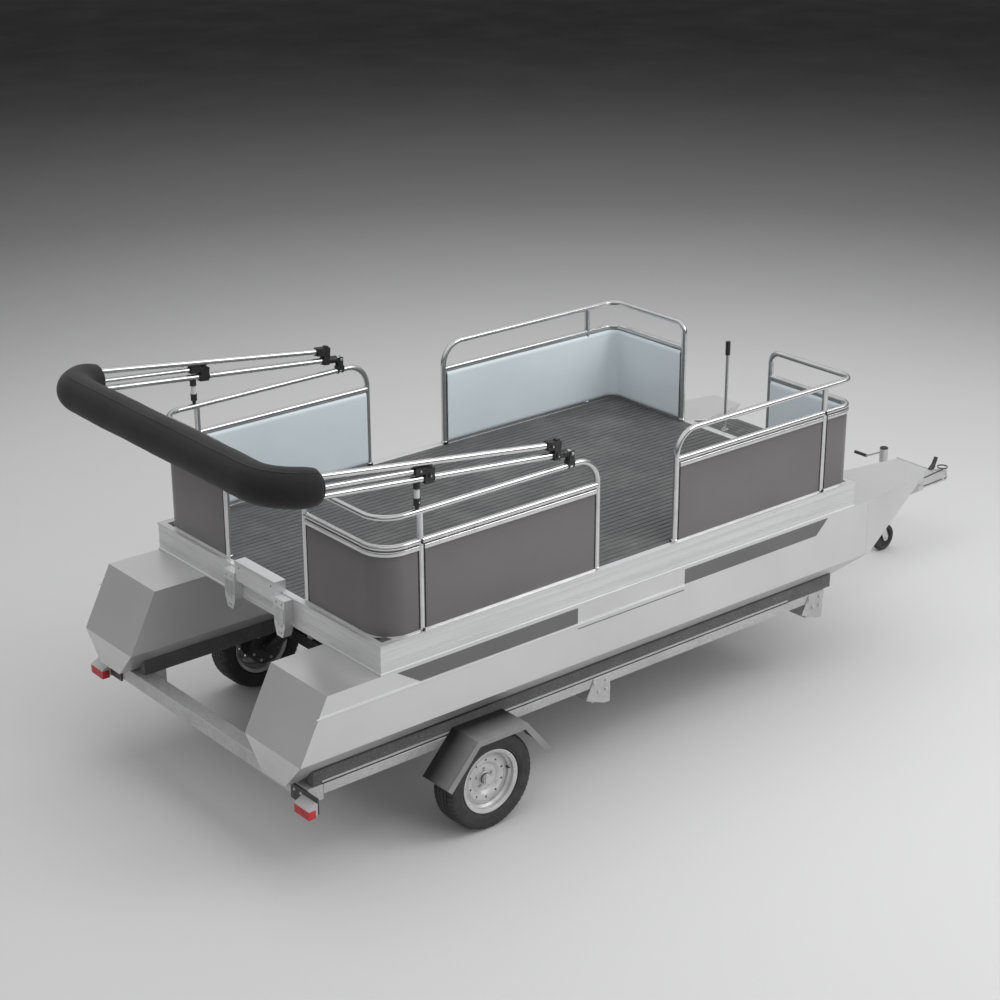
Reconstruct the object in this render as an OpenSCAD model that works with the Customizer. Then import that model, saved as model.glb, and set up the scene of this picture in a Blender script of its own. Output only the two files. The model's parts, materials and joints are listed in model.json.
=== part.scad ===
// Pontoon boat on its road trailer: two foam-cored pontoons under a fenced deck,
// a stowed bimini top, and a single-axle bunk trailer that stands on its jockey wheel.
// X runs forward along the boat, Y to port, Z up. The origin is on the floor,
// at the middle of the overall box.

/* [Deck] */
// Length of the deck box
deck_len = 3740; // [2900:10:4600]
// Beam of the deck box
deck_beam = 2250; // [2100:10:2500]
// Height of the deck rim above the floor
deck_top = 1299; // [1250:1:1400]
// Height of the deck's side fascia
fascia_h = 174; // [120:1:200]
// Width of the rim on top of the fascia
rim_w = 42; // [30:1:60]
// Thickness of the deck boards
floor_t = 22; // [12:1:40]
// Drop from the rim to the deck surface
floor_drop = 6; // [2:1:20]
// Number of cross beams under the deck
beam_count = 7; // [4:1:10]
// Width of a cross beam
beam_w = 50; // [30:1:80]

/* [Pontoons] */
// Distance from the centre line to a pontoon's centre
pontoon_y = 864; // [820:1:900]
// Width of a pontoon
pontoon_w = 526; // [420:1:560]
// Width of the flat along a pontoon's bottom
keel_w = 220; // [150:1:300]
// Height of the pontoon's bottom above the floor
keel_z = 592; // [560:1:620]
// Height of the knuckle where the sides turn in
knuckle_z = 761; // [720:1:800]
// Height of the weld line along the sides
chine_z = 1010; // [950:1:1060]
// How far the pontoon's stern reaches behind the deck, at the knuckle
stern_reach = 537; // [350:1:650]
// How far the top edge of the stern reaches behind the deck
stern_top_reach = 350; // [200:1:450]
// How far the bow reaches in front of the deck
bow_reach = 875; // [700:1:1100]
// Length of the tapered bow
bow_taper = 732; // [600:1:900]
// Width of the blunt tip
tip_w = 262; // [180:1:320]

/* [Fences] */
// Diameter of the fence tube
tube_d = 36; // [28:1:44]
// Height of the top rail's centre above the floor
rail_z = 1988; // [1850:1:2100]
// Height of the middle rail's centre above the floor
mid_z = 1818; // [1700:1:1840]
// Distance from the deck's side to the fence line
fence_inset = 30; // [24:1:60]
// Plan radius of the stern fence's corner
stern_corner_r = 150; // [70:1:200]
// Plan radius of the bow fence's corner
bow_corner_r = 90; // [60:1:200]
// Radius of the bends at the gate posts
gate_bend_r = 70; // [50:1:120]
// Radius of the bends that turn the top rail down
bend_r = 150; // [100:1:180]
// Half width of the gap between the end posts
gate_half = 400; // [300:1:520]
// Where the stern fence stops, from the stern
stern_fence_end = 1558; // [1300:1:1700]
// Where the bow fence starts, from the stern
bow_fence_start = 2178; // [1950:1:2400]
// Distance from the deck's end to the fence's end run
fence_end_inset = 44; // [30:1:80]
// Distance of the middle post from the deck's end
mid_post = 300; // [250:1:600]
// Thickness of the fence panels
panel_t = 16; // [8:1:24]

/* [Bimini] */
// Where the bimini's hinge stands, from the stern
hinge_x = 1350; // [1150:1:1420]
// Height of the hinge above the top rail's centre
hinge_up = 74; // [70:1:110]
// Diameter of the bimini tube
bow_d = 38; // [30:1:40]
// Reach of the stowed frame behind the hinge
stow_len = 1951; // [1800:1:2100]
// Rise of the stowed frame, in degrees
stow_tilt = 5.7; // [5:0.1:10]
// Length of the boot along each leg, measured from the run
boot_leg = 265; // [262:1:400]
// Radius of the frame's corners
bimini_r = 240; // [200:1:260]
// Diameter of the boot that holds the folded cloth
boot_d = 220; // [150:1:260]
// Height between the two stowed bows, at the hinge
tube_gap = 57.5; // [54:0.5:70]
// Angle between the two stowed bows, in degrees
bow_fan = 1.7; // [1.5:0.1:2.2]
// Where the rests stand, from the stern
rest_x = 284; // [200:1:400]

/* [Trailer] */
// Diameter of the road wheel
wheel_d = 594; // [540:1:640]
// Width of the tyre
tyre_w = 180; // [155:1:195]
// Distance between the tyres' outer faces
wheels_over = 2487; // [2440:1:2520]
// Where the axle lies, from the deck's stern
axle_x = 665; // [500:1:1300]
// Diameter of the rim's flange
rim_d = 388; // [350:1:400]
// Distance of the coupling's nose from the deck's stern
nose_x = 6095; // [5800:5:6500]
// Height of the rails' underside
rail_bottom = 505; // [480:1:520]
// Height and width of a side rail
side_rail = 60; // [50:1:60]
// Depth of the cross members
cross_h = 100; // [70:1:120]
// Thickness of a bunk plank
bunk_t = 50; // [35:1:60]
// Length of the bunks
bunk_len = 4060; // [3400:10:4200]
// Where the bunks start, from the deck's stern
bunk_x = -405; // [-450:1:-200]
// Overall width over the mudguards
guards_over = 2550; // [2530:1:2600]
// Thickness of the mudguard plate
guard_t = 3; // [2:1:5]

/* [Jockey wheel] */
// Where the jockey wheel's tube stands, from the deck's stern
jockey_x = 5366; // [5200:1:5450]
// Diameter of the jockey wheel
jockey_d = 200; // [160:1:220]
// Width of the jockey wheel
jockey_w = 50; // [40:1:60]
// Trail of the jockey wheel behind its tube
jockey_trail = 52; // [30:1:70]
// Diameter of the jockey wheel's outer tube
jockey_tube = 60; // [48:1:62]
// Wall of the jockey wheel's outer tube
jockey_wall = 5; // [3:0.5:8]
// Height of the top of the jockey tube
jockey_top = 812; // [790:1:860]
// Stroke of the jockey wheel's winding
jockey_stroke = 190; // [120:1:200]

/* [Clearances] */
// Gap between pieces that seat on each other
seat = 0.3; // [0.1:0.1:0.5]
// Radial clearance of a turning shaft
run = 0.05; // [0.02:0.01:0.1]

/* [Hidden] */

round_fn = 64;
skin = "gainsboro";

// Overall box, which sets the origin
boot_r = boot_d / 2;
boot_mid_z = (tube_gap + stow_len * sin(bow_fan)) / 2;
tail_x = hinge_x - stow_len * cos(stow_tilt) + boot_mid_z * sin(stow_tilt) - boot_r;
mid_x = (tail_x + nose_x) / 2;

// Deck heights
frame_bottom = deck_top - fascia_h;
floor_top = deck_top - floor_drop;
floor_bottom = floor_top - floor_t;
half_beam = deck_beam / 2;

// Fence lines
fence_y = half_beam - fence_inset;
stern_run_x = fence_end_inset;
bow_run_x = deck_len - fence_end_inset;
tube_r = tube_d / 2;
gate_drop_y = gate_half + gate_bend_r;
trim_h = 12;
trim_w = 24;
panel_bottom = deck_top + trim_h;
panel_top = mid_z - tube_r - seat;

// Pontoon outline
pontoon_half = pontoon_w / 2;
keel_half = keel_w / 2;
side_slope = (knuckle_z - keel_z) / (pontoon_half - keel_half);
tip_x = deck_len + bow_reach;
taper_x = tip_x - bow_taper;
stem_top_z = frame_bottom - 10;
stem_foot_x = tip_x - 995;
weld_proud = 6;
weld_h = 14;
pontoon_top = frame_bottom;

// Bow platform
platform_len = 300;
platform_root = 390;
platform_tip = 220;
platform_h = 60;
platform_rim = 28;

// Bimini, in the stowed frame's own line behind the hinge
hinge_z = rail_z + hinge_up;
bow_r = bow_d / 2;
boot_leg_x = -(stow_len - boot_leg);
short_r = bow_r - 4;
short_z = 48;
hinge_pin_r = 5;
ear_t = 6;
eye_w = 26;
eye_r = 17;
eye_reach = 28;
fitting_front = -88;
fitting_back = -1000;
fitting_wall = 5;
rest_z = hinge_z + (hinge_x - rest_x) * tan(stow_tilt) - bow_r / cos(stow_tilt) - seat;

// Trailer lines
wheel_r = wheel_d / 2;
wheel_y = wheels_over / 2 - tyre_w / 2;
rail_out = wheels_over / 2 - tyre_w - 18.5;
rail_in = rail_out - side_rail;
rail_top = rail_bottom + side_rail;
cross_bottom = rail_bottom - cross_h;
rear_beam_x = bunk_x - 35;
rear_beam_d = 100;
rear_beam_h = 90;
rear_beam_end = rear_beam_x + rear_beam_d;
cross_w = 100;
cross_x = [1630, 3480];
rail_end = bunk_x + bunk_len - 60;
plank_in = pontoon_y - rail_out + (side_rail - bunk_t) / 2 + pontoon_y;
plank_out = rail_in + (side_rail - bunk_t) / 2;

// Drawbar
bar_start = cross_x[0] + cross_w / 2;
bar_end = 5700;
bar_start_y = 430;
bar_end_y = 45;
bar_w = 50;
bar_slope = (bar_start_y - bar_end_y) / (bar_end - bar_start);
function bar_y(x) = bar_start_y - (x - bar_start) * bar_slope;

// Axle and wheels
axle_tube = 80;
tube_x0 = axle_x + 160;
tube_z = 390;
arm_t = 40;
arm_r1 = 42;
arm_r2 = 34;
arm_y = rail_in + seat;
spindle_r = 15;
plate_r = 118;
drum_r = 112;
disc_y = wheel_y + 8;
drum_y = arm_y + arm_t + 26;
plate_y = drum_y - 12;
bead_r = rim_d / 2 - 16;
rim_barrel_w = tyre_w - 30;
rim_wall = 6;
vents = 10;

// Mudguard, as a plate folded over the wheel: x from the deck's stern, height
guard_top = wheel_d + 13;
guard_path = [[axle_x - 343, guard_top - 232], [axle_x - 127, guard_top],
              [axle_x + 232, guard_top - 2], [axle_x + 413, guard_top - 223]];
guard_y = guards_over / 2;
guard_in = rail_out + seat;
lip_h = 40;

// Jockey wheel
jockey_r = jockey_d / 2;
jockey_tube_r = jockey_tube / 2;
stem_r = jockey_tube_r - jockey_wall;
crown_top = jockey_d + 38;
crown_t = 20;
stem_bottom = crown_top + seat;
jockey_bottom = stem_bottom + jockey_stroke + 8;
stem_top = jockey_top - 20 - jockey_stroke - 8;
swivel_r = 10;
swivel_len = 60;
cheek_t = 5;
cheek_y = jockey_w / 2 + 5;
jockey_axle_r = 8;

// ---- Shared shapes ----

module place() {
    translate([-mid_x, 0, 0]) children();
}

module starboard() {
    mirror([0, 1, 0]) children();
}

module both_sides() {
    children();
    starboard() children();
}

module bar_x(x0, x1, y, z, r) {
    translate([x0, y, z]) rotate([0, 90, 0]) cylinder(h = x1 - x0, r = r, $fn = round_fn);
}

module bar_y_axis(y0, y1, x, z, r) {
    translate([x, y0, z]) rotate([-90, 0, 0]) cylinder(h = y1 - y0, r = r, $fn = round_fn);
}

module post(x, y, z0, z1, r) {
    translate([x, y, z0]) cylinder(h = z1 - z0, r = r, $fn = round_fn);
}

module box_at(x, y, z) {
    translate([x[0], y[0], z[0]]) cube([x[1] - x[0], y[1] - y[0], z[1] - z[0]]);
}

// A quarter bend of a round tube in its own XY plane, from +X to +Y
module bend(radius, r) {
    rotate_extrude(angle = 90, $fn = round_fn) translate([radius, 0]) circle(r = r, $fn = round_fn);
}

// An outline in X and Z, extruded along Y between two places
module side_profile(points, y0, y1) {
    translate([0, y1, 0]) rotate([90, 0, 0]) linear_extrude(y1 - y0) polygon(points);
}

// An outline in Y and Z, extruded along X between two places
module cross_profile(points, x0, x1) {
    translate([x0, 0, 0]) rotate([90, 0, 90]) linear_extrude(x1 - x0) polygon(points);
}

// ---- Pontoons ----

module pontoon_plan(half) {
    polygon([[-stern_reach, -half], [taper_x, -half], [tip_x, -tip_w / 2], [tip_x, tip_w / 2],
             [taper_x, half], [-stern_reach, half]]);
}

module pontoon_side() {
    side_profile([[-stern_reach, keel_z], [-stern_reach, knuckle_z],
                  [-stern_top_reach, pontoon_top], [tip_x, pontoon_top], [tip_x, stem_top_z],
                  [stem_foot_x, keel_z]], -pontoon_half * 2, pontoon_half * 2);
}

module pontoon() {
    intersection() {
        pontoon_side();
        union() {
            intersection() {
                cross_profile([[-keel_half, keel_z], [keel_half, keel_z],
                               [pontoon_half, knuckle_z], [pontoon_half, pontoon_top],
                               [-pontoon_half, pontoon_top], [-pontoon_half, knuckle_z]],
                              -stern_reach, tip_x);
                linear_extrude(pontoon_top) pontoon_plan(pontoon_half);
            }
            translate([0, 0, chine_z - weld_h / 2]) linear_extrude(weld_h) intersection() {
                pontoon_plan(pontoon_half + weld_proud);
                translate([-stern_reach, 0]) square([stern_reach + deck_len * 0.6, pontoon_w]);
            }
        }
    }
}

module pontoon_port() {
    color(skin) place() translate([0, pontoon_y, 0]) pontoon();
}

module pontoon_starboard() {
    color(skin) place() starboard() translate([0, pontoon_y, 0]) pontoon();
}

// ---- Deck ----

module deck_frame() {
    beam_pitch = (deck_len - 2 * rim_w - beam_w) / (beam_count - 1);
    color(skin) place() {
        difference() {
            box_at([0, deck_len], [-half_beam, half_beam], [frame_bottom, deck_top]);
            box_at([rim_w, deck_len - rim_w], [rim_w - half_beam, half_beam - rim_w],
                   [frame_bottom - 1, deck_top + 1]);
        }
        for (i = [0 : beam_count - 1])
            box_at([rim_w + i * beam_pitch, rim_w + i * beam_pitch + beam_w],
                   [rim_w - half_beam, half_beam - rim_w], [frame_bottom, floor_bottom]);
    }
}

module deck_floor() {
    edge = rim_w + seat;
    color("dimgray") place()
        box_at([edge, deck_len - edge], [edge - half_beam, half_beam - edge],
               [floor_bottom, floor_top]);
}

module platform_plan(margin) {
    polygon([[deck_len + (margin > 0 ? margin / 2 : 0), margin - platform_root],
             [deck_len + platform_len - margin, margin - platform_tip],
             [deck_len + platform_len - margin, platform_tip - margin],
             [deck_len + (margin > 0 ? margin / 2 : 0), platform_root - margin]]);
}

module bow_platform() {
    color(skin) place() difference() {
        translate([0, 0, deck_top - platform_h]) linear_extrude(platform_h) platform_plan(0);
        translate([0, 0, floor_top]) linear_extrude(platform_h) platform_plan(platform_rim);
    }
}

// ---- Outboard bracket ----

bracket_t = 46;
bracket_half = 205;
bracket_top = deck_top + 71;
bracket_low = deck_top - 52;
saddle_depth = 26;
leg_y = 254;
leg_half = 55;
leg_low = frame_bottom - 65;
bolt_y = 163.5;
bolt_r = 6.5;
bolt_z = deck_top + 35;

module outboard_bracket() {
    color("silver") place() difference() {
        union() {
            box_at([-bracket_t, 0], [-bracket_half, bracket_half], [bracket_low, bracket_top]);
            box_at([-1, saddle_depth], [-bracket_half, bracket_half], [deck_top, bracket_top]);
            both_sides() cross_profile([[leg_y - leg_half, deck_top - 8],
                                        [leg_y - leg_half + 4, frame_bottom],
                                        [leg_y - 30, leg_low], [leg_y + 26, leg_low],
                                        [leg_y + leg_half - 4, frame_bottom],
                                        [leg_y + leg_half, deck_top - 8]],
                                       -bracket_t - 12, 0);
        }
        both_sides() bar_x(-bracket_t - 20, saddle_depth + 1, bolt_y, bolt_z, bolt_r);
    }
}

// ---- Fences ----

// One fence on the port side, with its end run near X = 0 and its open post at X = length
module fence(length, corner) {
    x0 = fence_end_inset;
    y0 = fence_y;
    for (z = [mid_z, rail_z])
        translate([x0 + corner, y0 - corner, z]) rotate([0, 0, 90]) bend(corner, tube_r);
    bar_x(x0 + corner, length - bend_r, y0, rail_z, tube_r);
    bar_x(x0 + corner, length, y0, mid_z, tube_r);
    bar_y_axis(gate_drop_y, y0 - corner, x0, rail_z, tube_r);
    bar_y_axis(gate_half, y0 - corner, x0, mid_z, tube_r);
    translate([length - bend_r, y0, rail_z - bend_r]) rotate([90, 0, 0]) bend(bend_r, tube_r);
    translate([x0, gate_drop_y, rail_z - gate_bend_r]) rotate([90, 0, 90])
        rotate([0, 0, 90]) bend(gate_bend_r, tube_r);
    post(length, y0, deck_top, rail_z - bend_r, tube_r);
    post(mid_post, y0, deck_top, rail_z, tube_r);
    post(x0, gate_half, deck_top, rail_z - gate_bend_r, tube_r);
    base_strip(length, corner, deck_top, trim_h, trim_w);
}

// A flat strip along a fence's line, bent round its corner
module base_strip(length, corner, z, h, w) {
    x0 = fence_end_inset;
    translate([0, 0, z]) linear_extrude(h) {
        translate([x0 + corner, fence_y - w / 2]) square([length - x0 - corner, w]);
        translate([x0 - w / 2, gate_half]) square([w, fence_y - corner - gate_half]);
        translate([x0 + corner, fence_y - corner]) intersection() {
            difference() {
                circle(r = corner + w / 2, $fn = round_fn);
                circle(r = corner - w / 2, $fn = round_fn);
            }
            translate([-2 * corner, 0]) square(2 * corner);
        }
    }
}

// The panels of one fence, with a slot for each post
module fence_panel(length, corner) {
    difference() {
        base_strip(length - tube_r, corner, panel_bottom, panel_top - panel_bottom, panel_t);
        post(length, fence_y, panel_bottom - 1, panel_top + 1, tube_r + seat);
        post(mid_post, fence_y, panel_bottom - 1, panel_top + 1, tube_r + seat);
        post(fence_end_inset, gate_half, panel_bottom - 1, panel_top + 1, tube_r + seat);
    }
}

bow_fence_len = deck_len - bow_fence_start;

module from_bow() {
    translate([deck_len, 0, 0]) mirror([1, 0, 0]) children();
}

module fence_stern_port() {
    color("silver") place() fence(stern_fence_end, stern_corner_r);
}

module fence_stern_starboard() {
    color("silver") place() starboard() fence(stern_fence_end, stern_corner_r);
}

module fence_bow_port() {
    color("silver") place() from_bow() fence(bow_fence_len, bow_corner_r);
}

module fence_bow_starboard() {
    color("silver") place() from_bow() starboard() fence(bow_fence_len, bow_corner_r);
}

module panel_stern_port() {
    color("gray") place() fence_panel(stern_fence_end, stern_corner_r);
}

module panel_stern_starboard() {
    color("gray") place() starboard() fence_panel(stern_fence_end, stern_corner_r);
}

module panel_bow_port() {
    color("gray") place() from_bow() fence_panel(bow_fence_len, bow_corner_r);
}

module panel_bow_starboard() {
    color("gray") place() from_bow() starboard() fence_panel(bow_fence_len, bow_corner_r);
}

// ---- Bow pole ----

pole_x = deck_len + 46;
pole_y = 78;
pole_r = 11;
pole_top = deck_top + 624;
pole_foot_h = 14;
grip_len = 92;
grip_r = 16;

module bow_pole() {
    color("silver") place() {
        post(pole_x, pole_y, floor_top, floor_top + pole_foot_h, pole_r + 14);
        post(pole_x, pole_y, floor_top, pole_top - grip_len, pole_r);
        post(pole_x, pole_y, floor_top, pole_top - 8, pole_r - 3);
    }
}

module bow_pole_grip() {
    color("black") place() difference() {
        post(pole_x, pole_y, pole_top - grip_len, pole_top, grip_r);
        post(pole_x, pole_y, pole_top - grip_len - 1, pole_top - 8 + seat, pole_r - 3 + seat);
    }
}

// ---- Bimini ----

// The stowed frame's own line: X runs forward along the legs, with the hinge at zero
module stowed() {
    place() translate([hinge_x, 0, hinge_z]) rotate([0, stow_tilt, 0]) children();
}

// A bow lying on its side: two legs, two corners and the run between them
module bow_tube(front, z, r) {
    both_sides() {
        bar_x(-(stow_len - bimini_r), front, fence_y, z, r);
        translate([-(stow_len - bimini_r), fence_y - bimini_r, z])
            rotate([0, 0, 90]) bend(bimini_r, r);
    }
    bar_y_axis(-(fence_y - bimini_r), fence_y - bimini_r, -stow_len, z, r);
}

module bimini_lower_bow() {
    color("silver") stowed() {
        bow_tube(-eye_reach, 0, bow_r);
        both_sides() difference() {
            union() {
                bar_y_axis(fence_y - eye_w / 2, fence_y + eye_w / 2, 0, 0, eye_r);
                box_at([-eye_reach - 4, 0], [fence_y - eye_w / 2, fence_y + eye_w / 2],
                       [5 - eye_r, eye_r - 5]);
            }
            bar_y_axis(fence_y - eye_w, fence_y + eye_w, 0, 0, hinge_pin_r + run);
        }
    }
}

// Turns the upper bow's own line away from the lower bow's
module fanned() {
    translate([0, 0, tube_gap]) rotate([0, bow_fan, 0]) children();
}

module bimini_upper_bow() {
    color("silver") stowed() fanned() bow_tube(fitting_front - 6, 0, bow_r);
}

module bimini_short_bow() {
    color("silver") stowed() bow_tube(fitting_back - 6, short_z, short_r);
}

// The front fitting ties both bows together; its sleeve runs on towards the hinge
module front_fitting() {
    half = bow_r + fitting_wall;
    top = tube_gap + 4 + half;
    difference() {
        union() {
            box_at([fitting_front - 42, fitting_front], [fence_y - half, fence_y + half],
                   [-half, top]);
            box_at([fitting_front - 92, fitting_front - 41], [fence_y - half, fence_y + half],
                   [tube_gap + 4 - half, top]);
            bar_x(fitting_front - 1, -eye_reach - 4, fence_y, 0, bow_r + 4);
        }
        bar_x(fitting_front - 50, 0, fence_y, 0, bow_r + seat);
        fanned() bar_x(fitting_front - 100, fitting_front + 8, fence_y, 0, bow_r + seat);
    }
}

// The rear fitting holds the short bow's end above the lower bow
module rear_fitting() {
    half = bow_r + fitting_wall;
    difference() {
        union() {
            box_at([fitting_back - 95, fitting_back - 25], [fence_y - half + 2, fence_y + half - 2],
                   [short_z - short_r - 5, short_z + short_r + 4.5]);
            box_at([fitting_back - 30, fitting_back + 30], [fence_y - half, fence_y + half],
                   [-half, short_z + 10]);
        }
        bar_x(fitting_back - 40, fitting_back + 31, fence_y, 0, bow_r + seat);
        bar_x(fitting_back - 96, fitting_back, fence_y, short_z, short_r + seat);
    }
}

module bimini_fittings() {
    color("black") stowed() both_sides() {
        front_fitting();
        rear_fitting();
    }
}

module bimini_boot() {
    color("black") stowed() difference() {
        bow_sleeve(boot_r);
        bow_tube(-eye_reach, 0, bow_r + seat);
        fanned() bow_tube(fitting_front, 0, bow_r + seat);
        bow_tube(fitting_back, short_z, short_r + seat);
    }
}

module bow_sleeve(r) {
    both_sides() {
        bar_x(-(stow_len - bimini_r), boot_leg_x, fence_y, boot_mid_z, r);
        translate([-(stow_len - bimini_r), fence_y - bimini_r, boot_mid_z])
            rotate([0, 0, 90]) bend(bimini_r, r);
    }
    bar_y_axis(-(fence_y - bimini_r), fence_y - bimini_r, -stow_len, boot_mid_z, r);
}

mount_half = 25;
mount_low = rail_z + tube_r / 3;
mount_side = 20;
ear_gap = eye_w / 2 + 1;

module bimini_mounts() {
    color("black") place() both_sides() {
        difference() {
            union() {
                box_at([hinge_x - mount_half, hinge_x + mount_half],
                       [fence_y - mount_side, fence_y + mount_side],
                       [mount_low, rail_z + tube_r + 10]);
                for (side = [-1, 1])
                    box_at([hinge_x - eye_r, hinge_x + eye_r],
                           [fence_y + side * (ear_gap + ear_t / 2) - ear_t / 2,
                            fence_y + side * (ear_gap + ear_t / 2) + ear_t / 2],
                           [rail_z + tube_r + 9, hinge_z + eye_r - 3]);
            }
            bar_x(hinge_x - mount_half - 1, hinge_x + mount_half + 1, fence_y, rail_z,
                  tube_r + seat);
        }
        bar_y_axis(fence_y - ear_gap - ear_t - 4, fence_y + ear_gap + ear_t + 4, hinge_x,
                   hinge_z, hinge_pin_r);
    }
}

module bimini_rests() {
    low = rail_z + tube_r - 8;
    color("black") place() both_sides() difference() {
        union() {
            post(rest_x, fence_y, low, low + 34, 11);
            post(rest_x, fence_y, low + 32, low + 66, 19);
            post(rest_x, fence_y, low + 65, rest_z - 24, 14);
            post(rest_x, fence_y, rest_z - 26, rest_z + 6, 19);
        }
        bar_x(rest_x - 40, rest_x + 40, fence_y, rail_z, tube_r + seat);
        translate([hinge_x, 0, hinge_z]) rotate([0, stow_tilt, 0])
            bar_x(-1200, -900, fence_y, 0, bow_r + seat);
    }
}

// ---- Trailer chassis ----

module side_rails() {
    color("lightgray") place() both_sides()
        box_at([rear_beam_end, rail_end], [rail_in, rail_out], [rail_bottom, rail_top]);
}

module cross_members() {
    color("lightgray") place() {
        box_at([rear_beam_x, rear_beam_end], [-rail_out, rail_out],
               [rail_top - rear_beam_h, rail_top]);
        for (x = cross_x) {
            box_at([x - cross_w / 2, x + cross_w / 2], [-rail_out, rail_out],
                   [cross_bottom, rail_bottom]);
            both_sides() end_gusset(x);
        }
    }
}

// Folded plate that closes a cross member's end and holds the side rail
gusset_t = 8;
gusset_half = 95;

module end_gusset(x) {
    side_profile([[x - gusset_half, cross_bottom + 35], [x + gusset_half - 50, cross_bottom - 20],
                  [x + gusset_half, cross_bottom - 24], [x + gusset_half, rail_top],
                  [x - gusset_half + 60, rail_top]], rail_out, rail_out + gusset_t);
}

module bunk_brackets() {
    w = 80;
    color("lightgray") place() both_sides() {
        for (x = cross_x)
            box_at([x - w / 2, x + w / 2], [plank_in, plank_in + bunk_t],
                   [rail_bottom, rail_top]);
        box_at([tube_x0 - w / 2, tube_x0 + w / 2], [plank_in, plank_in + bunk_t],
               [tube_z + axle_tube / 2, rail_top]);
        box_at([rear_beam_end, rear_beam_end + w], [plank_in, plank_in + gusset_t],
               [rail_top - rear_beam_h, rail_top]);
    }
}

// One plank, bevelled to the pontoon's lower side; near and far are its offsets from the
// pontoon's centre
module plank(near, far) {
    lift = keel_z - seat * sqrt(1 + side_slope * side_slope);
    cross_profile([[near, rail_top], [far, rail_top],
                   [far, lift + (far - keel_half) * side_slope],
                   [near, lift + (near - keel_half) * side_slope]],
                  bunk_x, bunk_x + bunk_len);
}

module bunk_pair() {
    near = plank_out - pontoon_y;
    translate([0, pontoon_y, 0]) {
        plank(near, near + bunk_t);
        mirror([0, 1, 0]) plank(near, near + bunk_t);
    }
}

module bunks_port() {
    color("dimgray") place() bunk_pair();
}

module bunks_starboard() {
    color("dimgray") place() starboard() bunk_pair();
}

module drawbar() {
    spans = [[bar_start, cross_x[1] - cross_w / 2], [cross_x[1] + cross_w / 2, bar_end]];
    color("lightgray") place() both_sides() for (s = spans)
        translate([0, 0, cross_bottom]) linear_extrude(cross_h)
            polygon([[s[0], bar_y(s[0]) - bar_w / 2], [s[1], bar_y(s[1]) - bar_w / 2],
                     [s[1], bar_y(s[1]) + bar_w / 2], [s[0], bar_y(s[0]) + bar_w / 2]]);
}

// ---- Axle, hubs and wheels ----

module axle() {
    color("gray") place() {
        box_at([tube_x0 - axle_tube / 2, tube_x0 + axle_tube / 2], [-rail_in, rail_in],
               [tube_z - axle_tube / 2, tube_z + axle_tube / 2]);
        both_sides() {
            box_at([tube_x0 - axle_tube / 2, tube_x0 + axle_tube / 2], [rail_in - 80, rail_in],
                   [tube_z + axle_tube / 2, rail_bottom]);
            box_at([tube_x0 - axle_tube / 2, tube_x0 + axle_tube / 2], [rail_in - 80, rail_out],
                   [rail_bottom - 10, rail_bottom]);
        }
    }
}

module arm_solid() {
    dx = tube_x0 - axle_x;
    dz = tube_z - wheel_r;
    len = sqrt(dx * dx + dz * dz);
    bar_y_axis(arm_y, arm_y + arm_t, tube_x0, tube_z, arm_r1);
    bar_y_axis(arm_y, arm_y + arm_t, axle_x, wheel_r, arm_r2);
    side_profile([[axle_x - dz / len * arm_r2, wheel_r + dx / len * arm_r2],
                  [axle_x + dz / len * arm_r2, wheel_r - dx / len * arm_r2],
                  [tube_x0 + dz / len * arm_r1, tube_z - dx / len * arm_r1],
                  [tube_x0 - dz / len * arm_r1, tube_z + dx / len * arm_r1]],
                 arm_y, arm_y + arm_t);
    bar_y_axis(arm_y + arm_t, disc_y + 26, axle_x, wheel_r, spindle_r);
    bar_y_axis(plate_y, plate_y + 6, axle_x, wheel_r, plate_r);
}

module suspension_arms() {
    color("dimgray") place() both_sides() arm_solid();
}

module hub() {
    difference() {
        union() {
            bar_y_axis(drum_y, disc_y - 8, axle_x, wheel_r, drum_r);
            bar_y_axis(disc_y - 9, disc_y, axle_x, wheel_r, 75);
            bar_y_axis(disc_y - 1, disc_y + 24, axle_x, wheel_r, 32);
            bar_y_axis(disc_y + 23, disc_y + 40, axle_x, wheel_r, 28);
        }
        bar_y_axis(drum_y - 1, disc_y + 28, axle_x, wheel_r, spindle_r + run);
    }
}

module hub_port() {
    color("dimgray") place() hub();
}

module hub_starboard() {
    color("dimgray") place() starboard() hub();
}

// Turns a shape drawn round the Z axis into a port wheel, its outer side to +Z before
module on_axle() {
    translate([axle_x, wheel_y, wheel_r]) rotate([-90, 0, 0]) children();
}

module rim() {
    flange = rim_d / 2;
    half = rim_barrel_w / 2;
    difference() {
        union() {
            rotate_extrude($fn = round_fn * 2)
                polygon([[flange, half], [flange, half - 6], [bead_r, half - 12],
                         [bead_r, half - 32], [bead_r - 14, half - 42],
                         [bead_r - 14, -half + 62], [bead_r, -half + 48], [bead_r, -half + 12],
                         [flange, -half + 6], [flange, -half], [flange - 6, -half],
                         [bead_r - rim_wall, -half + 8], [bead_r - rim_wall, -half + 46],
                         [bead_r - 14 - rim_wall, -half + 60],
                         [bead_r - 14 - rim_wall, half - 40], [bead_r - rim_wall, half - 30],
                         [bead_r - rim_wall, half - 8], [flange - 6, half]]);
            rotate_extrude($fn = round_fn * 2)
                polygon([[32 + seat, 8], [84, 8], [104, 20], [132, 26], [bead_r - 17, 14],
                         [bead_r - 17, 22], [134, 33], [100, 27], [82, 15], [32 + seat, 15]]);
        }
        for (i = [0 : vents - 1])
            rotate([0, 0, (i + 0.5) * 360 / vents]) translate([118, 0, 0])
                cylinder(h = 60, r = 7, $fn = 32);
    }
}

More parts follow.
